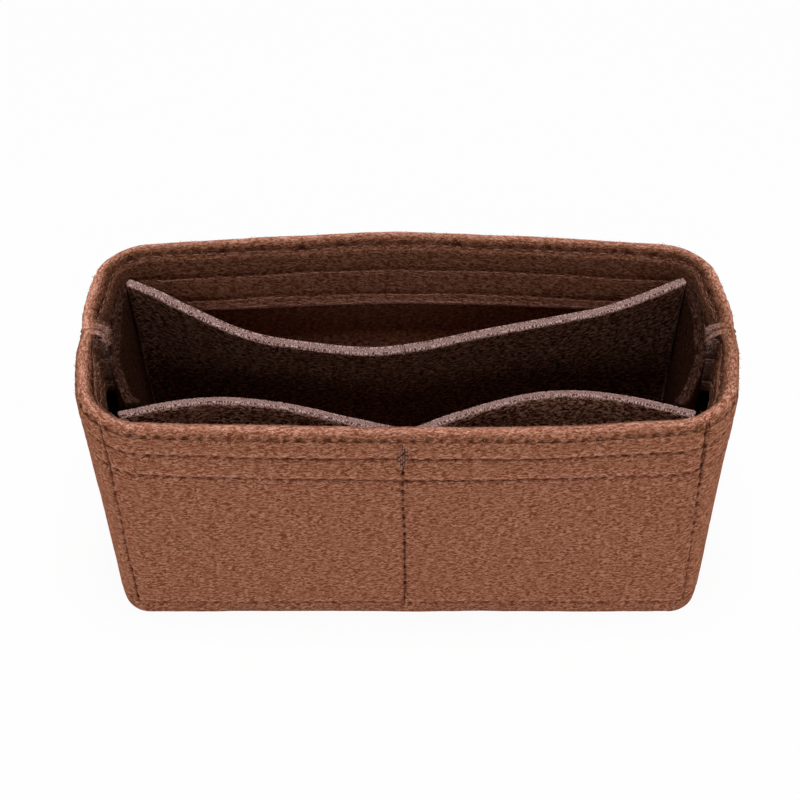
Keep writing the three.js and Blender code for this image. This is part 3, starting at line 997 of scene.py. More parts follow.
def ruled_sheet(name, lines, tree, snip):
    """Rules a sheet between its foot and top line with the node tree, as a grid of points."""
    fine = np.linspace(0, 1, 200)
    foot, top = lines(fine)
    width = np.sum(np.linalg.norm(np.diff(top, axis=0), axis=1))
    height = float(np.mean(np.linalg.norm(top - foot, axis=1)))
    across = edge_spaced(width, PANEL_STEP, snip) / width
    up = edge_spaced(height, PANEL_ROW_STEP) / height
    foot, top = lines(across)
    if snip is not None:
        near = np.clip(1 - np.abs(across - snip) * width / SNIP_HALF_WIDTH, 0, 1)
        top = top - near[:, None] * (top - foot) / height * SNIP_DEPTH
    guides = [polyline(name + "_foot", [foot]), polyline(name + "_top", [top])]
    sheet = flat_grid(name + "_grid", across, up)
    modifier = sheet.modifiers.new("Ruled sheet", 'NODES')
    modifier.node_group = tree
    set_inputs(modifier, {"Foot line": guides[0], "Top line": guides[1]})
    mesh = evaluated_mesh(sheet)
    points = np.empty(len(mesh.vertices) * 3)
    mesh.vertices.foreach_get("co", points)
    for helper in (sheet, *guides):
        remove_object(helper)
    bpy.data.meshes.remove(mesh)
    middle = points.reshape(len(up), len(across), 3)
    return middle, across * width, up * height


def edge_spaced(size, step, snip=None):
    lines = (0, size) if snip is None else (0, size, snip * size)
    return spaced(0, size, step, lines, EDGE_CLUSTER)


def polyline(name, lines, outward=None):
    """A mesh of open lines of points, each joined by edges."""
    points = np.concatenate(lines)
    edges = []
    start = 0
    for run in lines:
        edges += [(start + i, start + i + 1) for i in range(len(run) - 1)]
        start += len(run)
    mesh = bpy.data.meshes.new(name)
    mesh.from_pydata(points.tolist(), edges, [])
    if outward is not None:
        values = mesh.attributes.new(OUTWARD_ATTRIBUTE, 'FLOAT_VECTOR', 'POINT')
        values.data.foreach_set("vector", np.concatenate(outward).reshape(-1))
    return put(name, mesh, None)


def flat_grid(name, across, up):
    """A flat grid whose points know their column and their share of the way up."""
    columns, rows = len(across), len(up)
    x, y = np.meshgrid(across, up)
    points = np.stack([x, y, np.zeros_like(x)], axis=-1).reshape(-1, 3)
    quads = grid_quads(np.arange(rows * columns).reshape(rows, columns))
    mesh = bpy.data.meshes.new(name)
    mesh.from_pydata(points.tolist(), [], quads.tolist())
    column = np.broadcast_to(np.arange(columns), (rows, columns)).reshape(-1)
    mesh.attributes.new(COLUMN_ATTRIBUTE, 'INT', 'POINT').data.foreach_set("value", column)
    mesh.attributes.new(UP_ATTRIBUTE, 'FLOAT', 'POINT').data.foreach_set("value", y.reshape(-1))
    return put(name, mesh, None)


def remove_object(thing):
    data = thing.data
    bpy.data.objects.remove(thing)
    bpy.data.meshes.remove(data)


def evaluated_mesh(thing):
    graph = bpy.context.evaluated_depsgraph_get()
    return bpy.data.meshes.new_from_object(thing.evaluated_get(graph), depsgraph=graph)


def panel_mesh(name, lines, tree, seed, cut_share, snip, shade):
    middle, across, up = ruled_sheet(name, lines, tree, snip)
    normals = grid_normals(middle)
    flat = np.stack(np.broadcast_arrays(across[None, :], up[:, None], 0.1 * seed), axis=-1)
    lift = LUMP_HEIGHT * soft_noise(flat, LUMP_SIZE, seed) + FINE_LUMP_HEIGHT * soft_noise(
        flat, FINE_LUMP_SIZE, seed + 1)
    inwards = edge_distances(across, up)
    half = rounded_half(inwards)[..., None]
    worn = cut_share * np.clip(1.6 - inwards / EDGE_WEAR, 0, 1)
    middle = middle + normals * lift[..., None]
    cloth = np.stack(np.broadcast_arrays(across[None, :], up[:, None]), axis=-1)
    # Painted shade, deepening from the panel's top edge down into the pocket
    below = (up[-1] - up)[:, None] * np.ones_like(across)[None, :]
    dim = lerp(shade[1], shade[0], np.exp(-below / SHADE_DEPTH))
    return felt_mesh(name, settled(middle + normals * half), settled(middle - normals * half),
                     cloth, press_and_painted_light=dim, worn=worn, cut_share=cut_share, shade_both_faces=True)


# How deep the shade painted into a panel's felt is at its top edge and far below it, and how soon
# it deepens; the base panel is painted in shade all over
SHADE_DEPTH = 18 * MM
DIVIDER_SHADES = (0.1, 0.4)
POCKET_SHADES = (0.2, 0.5)
END_SHADES = (0.96, 1.0)
BASE_SHADE = 0.55


def panel_flat_size(lines):
    fine = np.linspace(0, 1, 200)
    foot, top = lines(fine)
    top_width = float(np.sum(np.linalg.norm(np.diff(top, axis=0), axis=1)))
    foot_width = float(np.sum(np.linalg.norm(np.diff(foot, axis=0), axis=1)))
    height = float(np.mean(np.linalg.norm(top - foot, axis=1)))
    return top_width, foot_width, height


# Base panel: a floor whose margin turns up inside the wraps

def base_mesh(name):
    sizes = insert()
    outside = sizes.felt + sizes.gap
    inside = outside + sizes.felt
    bend = 1.6 * MM
    levels = []
    for i in range(5):
        turn = math.pi / 2 * i / 4
        levels.append((outside + bend * (1 - math.sin(turn)), bend * (1 - math.cos(turn))))
    for z in np.linspace(bend, sizes.margin - sizes.edge_round, 5)[1:]:
        levels.append((outside, z))
    middle = outside + sizes.felt / 2
    for i in range(7):
        turn = math.pi * i / 6
        flat = sizes.felt / 2
        levels.append((middle - flat * math.cos(turn),
                       sizes.margin - sizes.edge_round + sizes.edge_round * math.sin(turn)))
    for z in np.linspace(sizes.margin - sizes.edge_round, sizes.felt + bend / 2, 5)[1:]:
        levels.append((inside, z))
    for i in range(1, 4):
        turn = math.pi / 2 * i / 3
        levels.append((inside + bend / 2 * (1 - math.cos(turn)),
                       sizes.felt + bend / 2 * (1 - math.sin(turn))))
    around = np.linspace(-1, 1, 121)
    rings = []
    for inset, z in levels:
        front = outline_point(around, z, inset, False)
        back = outline_point(around[::-1], z, inset, True)
        rings.append(np.concatenate([front, back]))
    floor_steps = 16
    for height, order in ((0.0, 'under'), (sizes.felt, 'floor')):
        edge = rings[0] if order == 'under' else rings[-1]
        inner = []
        for i in range(1, floor_steps):
            ring = edge * (1 - i / floor_steps)
            ring[:, 2] = height
            inner.append(ring)
        if order == 'under':
            rings = inner[::-1] + rings
        else:
            rings = rings + inner
    count = len(rings[0])
    points = np.concatenate(rings)
    numbers = np.arange(len(points)).reshape(len(rings), count)
    numbers = np.concatenate([numbers, numbers[:, :1]], axis=1)
    quads = grid_quads(numbers).tolist()
    points = settled(points).tolist()
    for ring, height, flip in ((numbers[0, :-1], 0.0, False), (numbers[-1, :-1], sizes.felt, True)):
        centre = len(points)
        points.append((BASE_SHIFT, 0.0, height))
        for a, b in zip(ring, np.roll(ring, -1)):
            quads.append((centre, b, a) if not flip else (centre, a, b))
    mesh = bpy.data.meshes.new(name)
    mesh.from_pydata(points, [], quads)
    uv = mesh.uv_layers.new(name=CLOTH_MAP).data
    for loop, item in zip(mesh.loops, uv):
        x, y, z = mesh.vertices[loop.vertex_index].co
        grow = 1 + z / (sizes.base_depth / 2)
        item.uv = (x * grow, y * grow)
    # The whole base is painted in shade, as it lies deep inside the insert
    for attribute, value in ((CUT_ATTRIBUTE, 0.0), (PAINTED_LIGHT_ATTRIBUTE, BASE_SHADE)):
        values = mesh.attributes.new(attribute, 'FLOAT', 'POINT')
        values.data.foreach_set("value", [value] * len(points))
    mesh.shade_smooth()
    mesh.update()
    if mesh_volume(mesh) < 0:
        mesh.flip_normals()
    return mesh


def mesh_volume(mesh):
    mesh.calc_loop_triangles()
    total = 0.0
    for triangle in mesh.loop_triangles:
        a, b, c = (mesh.vertices[i].co for i in triangle.vertices)
        total += a.dot(b.cross(c))
    return total


# Node trees

def add_node(tree, kind, **settings):
    node = tree.nodes.new(kind)
    for name, value in settings.items():
        setattr(node, name, value)
    return node


def set_inputs(modifier, values):
    """Sets a modifier's inputs, found by name and set by the socket's identifier."""
    for item in modifier.node_group.interface.items_tree:
        if item.item_type == 'SOCKET' and item.in_out == 'INPUT' and item.name in values:
            modifier[item.identifier] = values[item.name]


def geometry_tree(name, sockets):
    tree = bpy.data.node_groups.new(name, 'GeometryNodeTree')
    tree.is_modifier = True
    tree.interface.new_socket("Geometry", in_out='INPUT', socket_type='NodeSocketGeometry')
    for label, kind, default in sockets:
        socket = tree.interface.new_socket(label, in_out='INPUT', socket_type=kind)
        if default is not None:
            socket.default_value = default
    tree.interface.new_socket("Geometry", in_out='OUTPUT', socket_type='NodeSocketGeometry')
    return tree


def ruled_sheet_tree():
    """Rules a sheet: each point lies on the straight from the foot line to the top line."""
    tree = geometry_tree("Ruled felt sheet", [
        ("Foot line", 'NodeSocketObject', None),
        ("Top line", 'NodeSocketObject', None),
        ("Material", 'NodeSocketMaterial', None)])
    link = tree.links.new
    inputs = add_node(tree, 'NodeGroupInput')
    output = add_node(tree, 'NodeGroupOutput')
    column = add_node(tree, 'GeometryNodeInputNamedAttribute', data_type='INT')
    column.inputs["Name"].default_value = COLUMN_ATTRIBUTE
    up = add_node(tree, 'GeometryNodeInputNamedAttribute', data_type='FLOAT')
    up.inputs["Name"].default_value = UP_ATTRIBUTE
    position = add_node(tree, 'GeometryNodeInputPosition')
    ends = []
    for label in ("Foot line", "Top line"):
        info = add_node(tree, 'GeometryNodeObjectInfo')
        link(inputs.outputs[label], info.inputs["Object"])
        sample = add_node(tree, 'GeometryNodeSampleIndex', data_type='FLOAT_VECTOR')
        link(info.outputs["Geometry"], sample.inputs["Geometry"])
        link(position.outputs[0], sample.inputs["Value"])
        link(column.outputs["Attribute"], sample.inputs["Index"])
        ends.append(sample.outputs["Value"])
    mix = add_node(tree, 'ShaderNodeMix', data_type='VECTOR')
    link(up.outputs["Attribute"], mix.inputs["Factor"])
    link(ends[0], mix.inputs[4])
    link(ends[1], mix.inputs[5])
    place = add_node(tree, 'GeometryNodeSetPosition')
    link(inputs.outputs["Geometry"], place.inputs["Geometry"])
    link(mix.outputs[1], place.inputs["Position"])
    real = add_node(tree, 'GeometryNodeRealizeInstances')
    finish = add_node(tree, 'GeometryNodeSetMaterial')
    link(place.outputs[0], real.inputs[0])
    link(real.outputs[0], finish.inputs["Geometry"])
    link(inputs.outputs["Material"], finish.inputs["Material"])
    link(finish.outputs[0], output.inputs[0])
    return tree


STITCH_POINTS = 6
THREAD_SIDES = 6
STITCH_SEED = 11


def stitch_tree():
    """Lays stitches along lines: one short arch of thread at each step."""
    tree = geometry_tree("Stitches", [
        ("Pitch", 'NodeSocketFloat', 4.0 * MM),
        ("Stitch length", 'NodeSocketFloat', 3.0 * MM),
        ("Thread radius", 'NodeSocketFloat', 0.2 * MM),
        ("Sink", 'NodeSocketFloat', 0.1 * MM),
        ("Dive", 'NodeSocketFloat', 0.5 * MM),
        ("Wobble", 'NodeSocketFloat', 0.2),
        ("Seed", 'NodeSocketInt', STITCH_SEED),
        ("Material", 'NodeSocketMaterial', None)])
    link = tree.links.new
    inputs = add_node(tree, 'NodeGroupInput')
    output = add_node(tree, 'NodeGroupOutput')

    def maths(operation, a, b):
        node = add_node(tree, 'ShaderNodeMath', operation=operation)
        for value, socket in ((a, node.inputs[0]), (b, node.inputs[1])):
            if isinstance(value, float):
                socket.default_value = value
            else:
                link(value, socket)
        return node.outputs[0]

    def vector(x, z):
        node = add_node(tree, 'ShaderNodeCombineXYZ')
        if x is not None:
            link(x, node.inputs[0])
        if z is not None:
            link(z, node.inputs[2])
        return node.outputs[0]

    # One stitch: an arch that dives into the felt at both ends
    half = maths('MULTIPLY', inputs.outputs["Stitch length"], 0.5)
    low = maths('MULTIPLY', inputs.outputs["Dive"], -1.0)
    top = maths('ADD', inputs.outputs["Dive"], 0.0)
    arch = add_node(tree, 'GeometryNodeCurveQuadraticBezier')
    arch.inputs["Resolution"].default_value = STITCH_POINTS
    link(vector(maths('MULTIPLY', half, -1.0), low), arch.inputs["Start"])
    link(vector(None, top), arch.inputs["Middle"])
    link(vector(half, low), arch.inputs["End"])
    profile = add_node(tree, 'GeometryNodeCurvePrimitiveCircle')
    profile.inputs["Resolution"].default_value = THREAD_SIDES
    link(inputs.outputs["Thread radius"], profile.inputs["Radius"])
    thread = add_node(tree, 'GeometryNodeCurveToMesh')
    thread.inputs["Fill Caps"].default_value = True
    link(arch.outputs[0], thread.inputs["Curve"])
    link(profile.outputs[0], thread.inputs["Profile Curve"])
    # The row that they follow
    row = add_node(tree, 'GeometryNodeMeshToCurve')
    link(inputs.outputs["Geometry"], row.inputs[0])
    points = add_node(tree, 'GeometryNodeCurveToPoints', mode='LENGTH')
    link(row.outputs[0], points.inputs["Curve"])
    link(inputs.outputs["Pitch"], points.inputs["Length"])
    outward = add_node(tree, 'GeometryNodeInputNamedAttribute', data_type='FLOAT_VECTOR')
    outward.inputs["Name"].default_value = OUTWARD_ATTRIBUTE
    turn = add_node(tree, 'FunctionNodeAxesToRotation', primary_axis='X', secondary_axis='Z')
    link(points.outputs["Tangent"], turn.inputs[0])
    link(outward.outputs["Attribute"], turn.inputs[1])
    # A little unevenness, as from a hand on a machine
    wobble = add_node(tree, 'FunctionNodeRandomValue', data_type='FLOAT')
    link(maths('SUBTRACT', 1.0, inputs.outputs["Wobble"]), wobble.inputs[2])
    link(maths('ADD', 1.0, inputs.outputs["Wobble"]), wobble.inputs[3])
    link(inputs.outputs["Seed"], wobble.inputs["Seed"])
    sink = add_node(tree, 'ShaderNodeVectorMath', operation='SCALE')
    link(outward.outputs["Attribute"], sink.inputs[0])
    link(maths('MULTIPLY', inputs.outputs["Sink"], -1.0), sink.inputs["Scale"])
    lowered = add_node(tree, 'GeometryNodeSetPosition')
    link(points.outputs["Points"], lowered.inputs["Geometry"])
    link(sink.outputs[0], lowered.inputs["Offset"])
    copies = add_node(tree, 'GeometryNodeInstanceOnPoints')
    link(lowered.outputs[0], copies.inputs["Points"])
    link(thread.outputs[0], copies.inputs["Instance"])
    link(turn.outputs[0], copies.inputs["Rotation"])
    link(wobble.outputs[1], copies.inputs["Scale"])
    real = add_node(tree, 'GeometryNodeRealizeInstances')
    smooth = add_node(tree, 'GeometryNodeSetShadeSmooth')
    finish = add_node(tree, 'GeometryNodeSetMaterial')
    link(copies.outputs[0], real.inputs[0])
    link(real.outputs[0], smooth.inputs[0])
    link(smooth.outputs[0], finish.inputs["Geometry"])
    link(inputs.outputs["Material"], finish.inputs["Material"])
    link(finish.outputs[0], output.inputs[0])
    return tree


def fibre_tree():
    """Gives each line of points the body of a thin fibre."""
    tree = geometry_tree("Loose fibres", [
        ("Fibre radius", 'NodeSocketFloat', 0.04 * MM),
        ("Material", 'NodeSocketMaterial', None)])
    link = tree.links.new
    inputs = add_node(tree, 'NodeGroupInput')
    output = add_node(tree, 'NodeGroupOutput')
    lines = add_node(tree, 'GeometryNodeMeshToCurve')
    link(inputs.outputs["Geometry"], lines.inputs[0])
    profile = add_node(tree, 'GeometryNodeCurvePrimitiveCircle')
    profile.inputs["Resolution"].default_value = FIBRE_SIDES
    link(inputs.outputs["Fibre radius"], profile.inputs["Radius"])
    body = add_node(tree, 'GeometryNodeCurveToMesh')
    body.inputs["Fill Caps"].default_value = True
    link(lines.outputs[0], body.inputs["Curve"])
    link(profile.outputs[0], body.inputs["Profile Curve"])
    real = add_node(tree, 'GeometryNodeRealizeInstances')
    finish = add_node(tree, 'GeometryNodeSetMaterial')
    link(body.outputs[0], real.inputs[0])
    link(real.outputs[0], finish.inputs["Geometry"])
    link(inputs.outputs["Material"], finish.inputs["Material"])
    link(finish.outputs[0], output.inputs[0])
    return tree


# Materials

def material_tree(name):
    material = bpy.data.materials.new(name)
    material.use_nodes = True
    material.node_tree.nodes.clear()
    return material, material.node_tree


class NodeMaker:
    """Adds shader nodes to a material's tree and links them by their values."""

    def __init__(self, tree):
        self.tree = tree

    def feed(self, value, socket):
        if isinstance(value, bpy.types.NodeSocket):
            self.tree.links.new(value, socket)
        elif value is not None:
            socket.default_value = value

    def maths(self, operation, a, b=None, clamp=False):
        node = add_node(self.tree, 'ShaderNodeMath', operation=operation, use_clamp=clamp)
        self.feed(a, node.inputs[0])
        self.feed(b, node.inputs[1])
        return node.outputs[0]

    def vector_maths(self, operation, a, b, c=None):
        node = add_node(self.tree, 'ShaderNodeVectorMath', operation=operation)
        for value, socket in zip((a, b, c), node.inputs):
            self.feed(value, socket)
        return node.outputs[0]

    def noise(self, vector, size, detail, roughness=0.5):
        """Noise on a vector in millimetres, whose lumps are about size millimetres wide."""
        node = add_node(self.tree, 'ShaderNodeTexNoise', noise_dimensions='2D')
        self.feed(vector, node.inputs["Vector"])
        node.inputs["Scale"].default_value = 1 / size
        node.inputs["Detail"].default_value = detail
        node.inputs["Roughness"].default_value = roughness
        return node

    def remap(self, value, low, high, to_low=0.0, to_high=1.0):
        node = add_node(self.tree, 'ShaderNodeMapRange')
        self.feed(value, node.inputs["Value"])
        for label, amount in (("From Min", low), ("From Max", high), ("To Min", to_low),
                              ("To Max", to_high)):
            node.inputs[label].default_value = amount
        return node.outputs[0]

    def ramp(self, value, low, middle, high):
        """A colour from low through middle to high, as the value goes from 0 to 1."""
        node = add_node(self.tree, 'ShaderNodeValToRGB')
        self.feed(value, node.inputs["Fac"])
        ends = node.color_ramp.elements
        ends[0].color = low
        ends[1].color = high
        ends.new(0.5).color = middle
        return node.outputs["Color"]

    def mix(self, factor, a, b, blend='MIX'):
        node = add_node(self.tree, 'ShaderNodeMix', data_type='RGBA', blend_type=blend)
        self.feed(factor, node.inputs["Factor"])
        self.feed(a, node.inputs[6])
        self.feed(b, node.inputs[7])
        return node.outputs[2]


def scaled(base, amount):
    """A colour made lighter or darker, with its alpha."""
    return (*[min(channel * amount, 1) for channel in base], 1)


# Matted fibres: the turn of each layer, and how wide and how long its strands are, in mm
STRAND_LAYERS = ((0.06, 0.46, 1.3), (-0.36, 0.42, 1.1), (0.44, 0.44, 1.2), (0.12, 0.46, 3.0))
FIBRE_LAYERS = ((0.20, 0.34, 3.2), (-0.30, 0.38, 2.8), (0.90, 0.40, 2.2), (-1.0, 0.36, 2.4))
FIBRE_HALF_WIDTH = 0.035
STRAND_DETAIL = 0.0
STRAND_SPREAD = 0.40
STRAND_WEIGHT = 0.8
PATCH_SIZE = 6.0
PATCH_WEIGHTS = (0.8, 1.2)
FIBRE_WEIGHT = 0.34
FIBRE_MEAN = 0.22
BLOTCH_WEIGHT = 0.02
BEND_SIZE = 2.0
BEND_REACH = 1.6


def felt_material(name, base, contrast):
    """Felt: matted wavy fibres, a few pale specks, and paler loose fibres where it is cut."""
    material, tree = material_tree(name)
    make = NodeMaker(tree)
    colours = bpy.context.scene.felt_colours
    cloth = add_node(tree, 'ShaderNodeUVMap', uv_map=CLOTH_MAP)
    flat = make.vector_maths('MULTIPLY', cloth.outputs[0], (1 / MM, 1 / MM, 0))
    bend = make.noise(flat, BEND_SIZE, 2.0)
    centred = make.vector_maths('SUBTRACT', bend.outputs["Color"], (0.5, 0.5, 0.5))
    waved = make.vector_maths('MULTIPLY_ADD', centred, (BEND_REACH, BEND_REACH, 0), flat)

    def layer(number, turn, width, strand, detail):
        lay = add_node(tree, 'ShaderNodeMapping', vector_type='TEXTURE')
        lay.inputs["Rotation"].default_value = (0, 0, turn)
        lay.inputs["Location"].default_value = (17.0 * number, 31.0 * number, 0)
        lay.inputs["Scale"].default_value = (strand, width, 1)
        make.feed(waved, lay.inputs["Vector"])
        return make.noise(lay.outputs[0], 1.0, detail, 0.6).outputs["Fac"]

    # Strands, laid a little across each other
    strands = None
    for number, sizes in enumerate(STRAND_LAYERS):
        part = layer(number, *sizes, STRAND_DETAIL)
        strands = part if strands is None else make.maths('ADD', strands, part)
    middle = len(STRAND_LAYERS) / 2
    strands = make.remap(strands, middle - STRAND_SPREAD, middle + STRAND_SPREAD, -0.5, 0.5)
    # Single fibres on top of them, as thin lines
    fibres = None
    for number, sizes in enumerate(FIBRE_LAYERS):
        part = make.maths('ABSOLUTE', make.maths('SUBTRACT', layer(number + 5, *sizes, 0.0), 0.5))
        fibres = part if fibres is None else make.maths('MINIMUM', fibres, part)
    fibres = make.remap(fibres, FIBRE_HALF_WIDTH, 0.0)
    height = make.maths('ADD', strands, make.maths('MULTIPLY', fibres, 0.03))
    blotch = make.noise(flat, 9.0, 3.0)
    patches = make.noise(flat, PATCH_SIZE, 2.0)
    patches = make.remap(patches.outputs["Fac"], 0.35, 0.65, *PATCH_WEIGHTS)
    tone = make.maths('MULTIPLY', make.maths('MULTIPLY', strands, STRAND_WEIGHT), patches)
    raised = make.maths('MULTIPLY', make.maths('SUBTRACT', fibres, FIBRE_MEAN), FIBRE_WEIGHT)
    tone = make.maths('ADD', tone, raised)
    uneven = make.remap(blotch.outputs["Fac"], 0.3, 0.7, 0.5 - BLOTCH_WEIGHT, 0.5 + BLOTCH_WEIGHT)
    tone = make.maths('ADD', tone, uneven, True)
    felt = make.ramp(tone, stepped(base, -contrast), (*base, 1), stepped(base, contrast))
    # Pale specks
    speck = make.noise(flat, 0.45, 0.0)
    specked = make.mix(make.remap(speck.outputs["Fac"], 0.855, 0.89, 0.0, 0.7), felt,
                       (*colours.speck, 1))
    # Cut edges
    grain = make.noise(flat, 0.4, 2.0)
    edge = make.mix(make.remap(grain.outputs["Fac"], 0.40, 0.60), scaled(base, 0.55),
                    (*colours.cut, 1))
    cut = add_node(tree, 'ShaderNodeAttribute', attribute_name=CUT_ATTRIBUTE)
    coloured = make.mix(cut.outputs["Fac"], specked, edge)
    press_and_painted_light = add_node(tree, 'ShaderNodeAttribute', attribute_name=PAINTED_LIGHT_ATTRIBUTE)
    # Painted highlight where the attribute is below 0; painted shade where it is over 0, as in the
    # stitches' grooves and deep inside the pockets
    coloured = make.mix(make.remap(press_and_painted_light.outputs["Fac"], 0.0, -1.0), coloured, HIGHLIGHT_TINT,
                        'MULTIPLY')
    coloured = make.mix(make.remap(press_and_painted_light.outputs["Fac"], *PAINTED_SHADE_RANGE, 0.0, PAINTED_SHADE_STRENGTH),
                        coloured, stepped(base, -0.4))
    relief = add_node(tree, 'ShaderNodeBump')
    relief.inputs["Strength"].default_value = 1.0
    relief.inputs["Distance"].default_value = RELIEF
    make.feed(height, relief.inputs["Height"])
    shader = add_node(tree, 'ShaderNodeBsdfPrincipled')
    shader.inputs["Roughness"].default_value = 0.96
    shader.inputs["Specular IOR Level"].default_value = 0.0
    shader.inputs["Sheen Weight"].default_value = 0.08
    shader.inputs["Sheen Roughness"].default_value = 0.5
    shader.inputs["Sheen Tint"].default_value = scaled(base, 2.5)
    make.feed(coloured, shader.inputs["Base Color"])
    make.feed(relief.outputs[0], shader.inputs["Normal"])
    output = add_node(tree, 'ShaderNodeOutputMaterial')
    make.feed(shader.outputs[0], output.inputs[0])
    return material


RELIEF = 0.15 * MM
# How strong the painted shade is, the range of the attribute over which it deepens, and the tint of
# the painted highlight
PAINTED_SHADE_STRENGTH = 0.92
PAINTED_SHADE_RANGE = (0.2, 1.0)
HIGHLIGHT_TINT = (2.45, 2.75, 3.3, 1)


def thread_material(name, base):
    """Matt sewing thread, a little uneven along its plies."""
    material, tree = material_tree(name)
    link = tree.links.new
    place = add_node(tree, 'ShaderNodeTexCoord')
    fuzz = add_node(tree, 'ShaderNodeTexNoise')
    fuzz.inputs["Scale"].default_value = 2.4 / MM
    fuzz.inputs["Detail"].default_value = 1.0
    link(place.outputs["Object"], fuzz.inputs["Vector"])
    ramp = add_node(tree, 'ShaderNodeValToRGB')
    ramp.color_ramp.elements[0].color = stepped(base, -0.06)
    ramp.color_ramp.elements[1].color = stepped(base, 0.06)
    link(fuzz.outputs["Fac"], ramp.inputs["Fac"])
    relief = add_node(tree, 'ShaderNodeBump')
    relief.inputs["Strength"].default_value = 0.5
    relief.inputs["Distance"].default_value = 0.08 * MM
    link(fuzz.outputs["Fac"], relief.inputs["Height"])
    shader = add_node(tree, 'ShaderNodeBsdfPrincipled')
    shader.inputs["Roughness"].default_value = 0.8
    shader.inputs["Specular IOR Level"].default_value = 0.0
    link(ramp.outputs["Color"], shader.inputs["Base Color"])
    link(relief.outputs[0], shader.inputs["Normal"])
    output = add_node(tree, 'ShaderNodeOutputMaterial')
    link(shader.outputs[0], output.inputs[0])
    return material


def made_once(name, make):
    """The material of that name, made the first time that it is asked for."""
    return bpy.data.materials.get(name) or make()


def outer_felt():
    base = bpy.context.scene.felt_colours.outer
    return made_once("matted_outer_felt", lambda: felt_material("matted_outer_felt", base, 0.125))


def inner_felt():
    base = bpy.context.scene.felt_colours.inner
    return made_once("matted_inner_felt", lambda: felt_material("matted_inner_felt", base, 0.33))


def wall_thread():
    base = bpy.context.scene.felt_colours.thread
    return made_once("wall_thread", lambda: thread_material("wall_thread", base))


def bobbin_thread():
    base = bpy.context.scene.felt_colours.bobbin
    return made_once("bobbin_thread", lambda: thread_material("bobbin_thread", base))


def loose_fibre():
    base = bpy.context.scene.felt_colours.loose
    return made_once("loose_fibre", lambda: thread_material("loose_fibre", base))


# Operators

class INSERT_OT_wraps(bpy.types.Operator):
    """Folds the front and the back wrap, with their hems and seam allowances"""
    bl_idname = "insert.wraps"
    bl_label = "Fold the outer wraps"

    def execute(self, context):
        for name, node, back in (("felt_front_wrap", "front_wrap", False),
                                 ("felt_back_wrap", "back_wrap", True)):
            wrap = build_wrap(back)
            mesh = felt_mesh(name, wrap.face, wrap.inner, wrap.cloth, wrap.back_cloth,
                             wrap.press_and_painted_light, wrap.worn, 0.5)
            piece = put(name, mesh, outer_felt())
            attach(piece, BODY)
            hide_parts(node)
        return {'FINISHED'}


class INSERT_OT_base(bpy.types.Operator):
    """Makes the base panel, with its margin turned up inside the wraps"""
    bl_idname = "insert.base"
    bl_label = "Turn up the base panel"

    def execute(self, context):
        name = "felt_base_panel"
        piece = put(name, base_mesh(name), inner_felt())
        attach(piece, BODY)
        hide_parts("base_panel")
        return {'FINISHED'}


class INSERT_OT_panels(bpy.types.Operator):
    """Rules the divider, the front pockets and the two end pockets"""
    bl_idname = "insert.panels"
    bl_label = "Set in the inner panels"

    def execute(self, context):
        tree = ruled_sheet_tree()
        panel_list = (
            ("back_pocket_panel", divider_lines, 3, 1.0, DIVIDER_SNIP, DIVIDER_SHADES),
            ("front_pocket_panel", front_pocket_lines, 5, 0.95, None, POCKET_SHADES),
            # The end panels show only a tenth of their cut's pale fibres, a painted shade, as their
            # edges lie deep in the pockets
            ("left_pocket_panel", end_panel_lines(-1), 7, 0.1, None, END_SHADES),
            ("right_pocket_panel", end_panel_lines(1), 9, 0.1, None, END_SHADES))
        for node, lines, seed, cut_share, snip, shades in panel_list:
            name = "felt_" + node
            mesh = panel_mesh(name, lines, tree, seed, cut_share, snip, shades)
            piece = put(name, mesh, inner_felt())
            top_width, foot_width, height = panel_flat_size(lines)
            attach(piece, BODY)
            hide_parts(node)
        return {'FINISHED'}


class INSERT_OT_stitches(bpy.types.Operator):
    """Sews the rows of the hem, the upright seams and the row along the foot"""
    bl_idname = "insert.stitches"
    bl_label = "Sew the seams"

    def execute(self, context):
        tree = stitch_tree()
        wraps = {back: WrapFace(build_wrap(back), back) for back in (False, True)}
        tack_pitch = stitches().seam_pitch * BACK_TACK_SHARE
        jobs = (
            ("front_wall_stitches", stitch_rows(wraps[False], False, False), wall_thread()),
            ("back_wall_stitches", stitch_rows(wraps[True], True, False), wall_thread()),
            ("front_hem_stitches", stitch_rows(wraps[False], False, True), bobbin_thread()),
            ("back_hem_stitches", stitch_rows(wraps[True], True, True), bobbin_thread()))
        for name, lines, material in jobs:
            sew(name, lines, tree, stitches().pitch, material)
        sew("upright_seam_stitches", upright_rows(wraps[False]), tree, stitches().seam_pitch,
            wall_thread())
        sew("back_tack_stitches", back_tack_rows(wraps[False]), tree, tack_pitch,
            bobbin_thread(), TACK_THREAD_SHARE, TACK_SINK_SHARE)
        return {'FINISHED'}


class INSERT_OT_fibres(bpy.types.Operator):
    """Pulls up the loose fibres of the rims, the hem and the ends of the side seams"""
    bl_idname = "insert.fibres"
    bl_label = "Pull up loose fibres"

    def execute(self, context):
        tree = fibre_tree()
        for back, name, spots in ((False, "front_loose_fibres", FRONT_FUZZ),
                                  (True, "back_loose_fibres", BACK_FUZZ)):
            lines = fibre_lines(WrapFace(build_wrap(back), back), back, spots)
            grow(name, lines, tree)
            wrap_flat_size(back)
        return {'FINISHED'}


FIBRE_SIDES = 3
FIBRE_POINTS = 5
FIBRE_SEED = 21
FIBRE_ROOT = 0.15 * MM
FIBRE_LIFT = 0.8
FIBRE_STRAY = 0.55
FIBRE_BEND = 0.5
FIBRE_RADIUS = 0.045 * MM

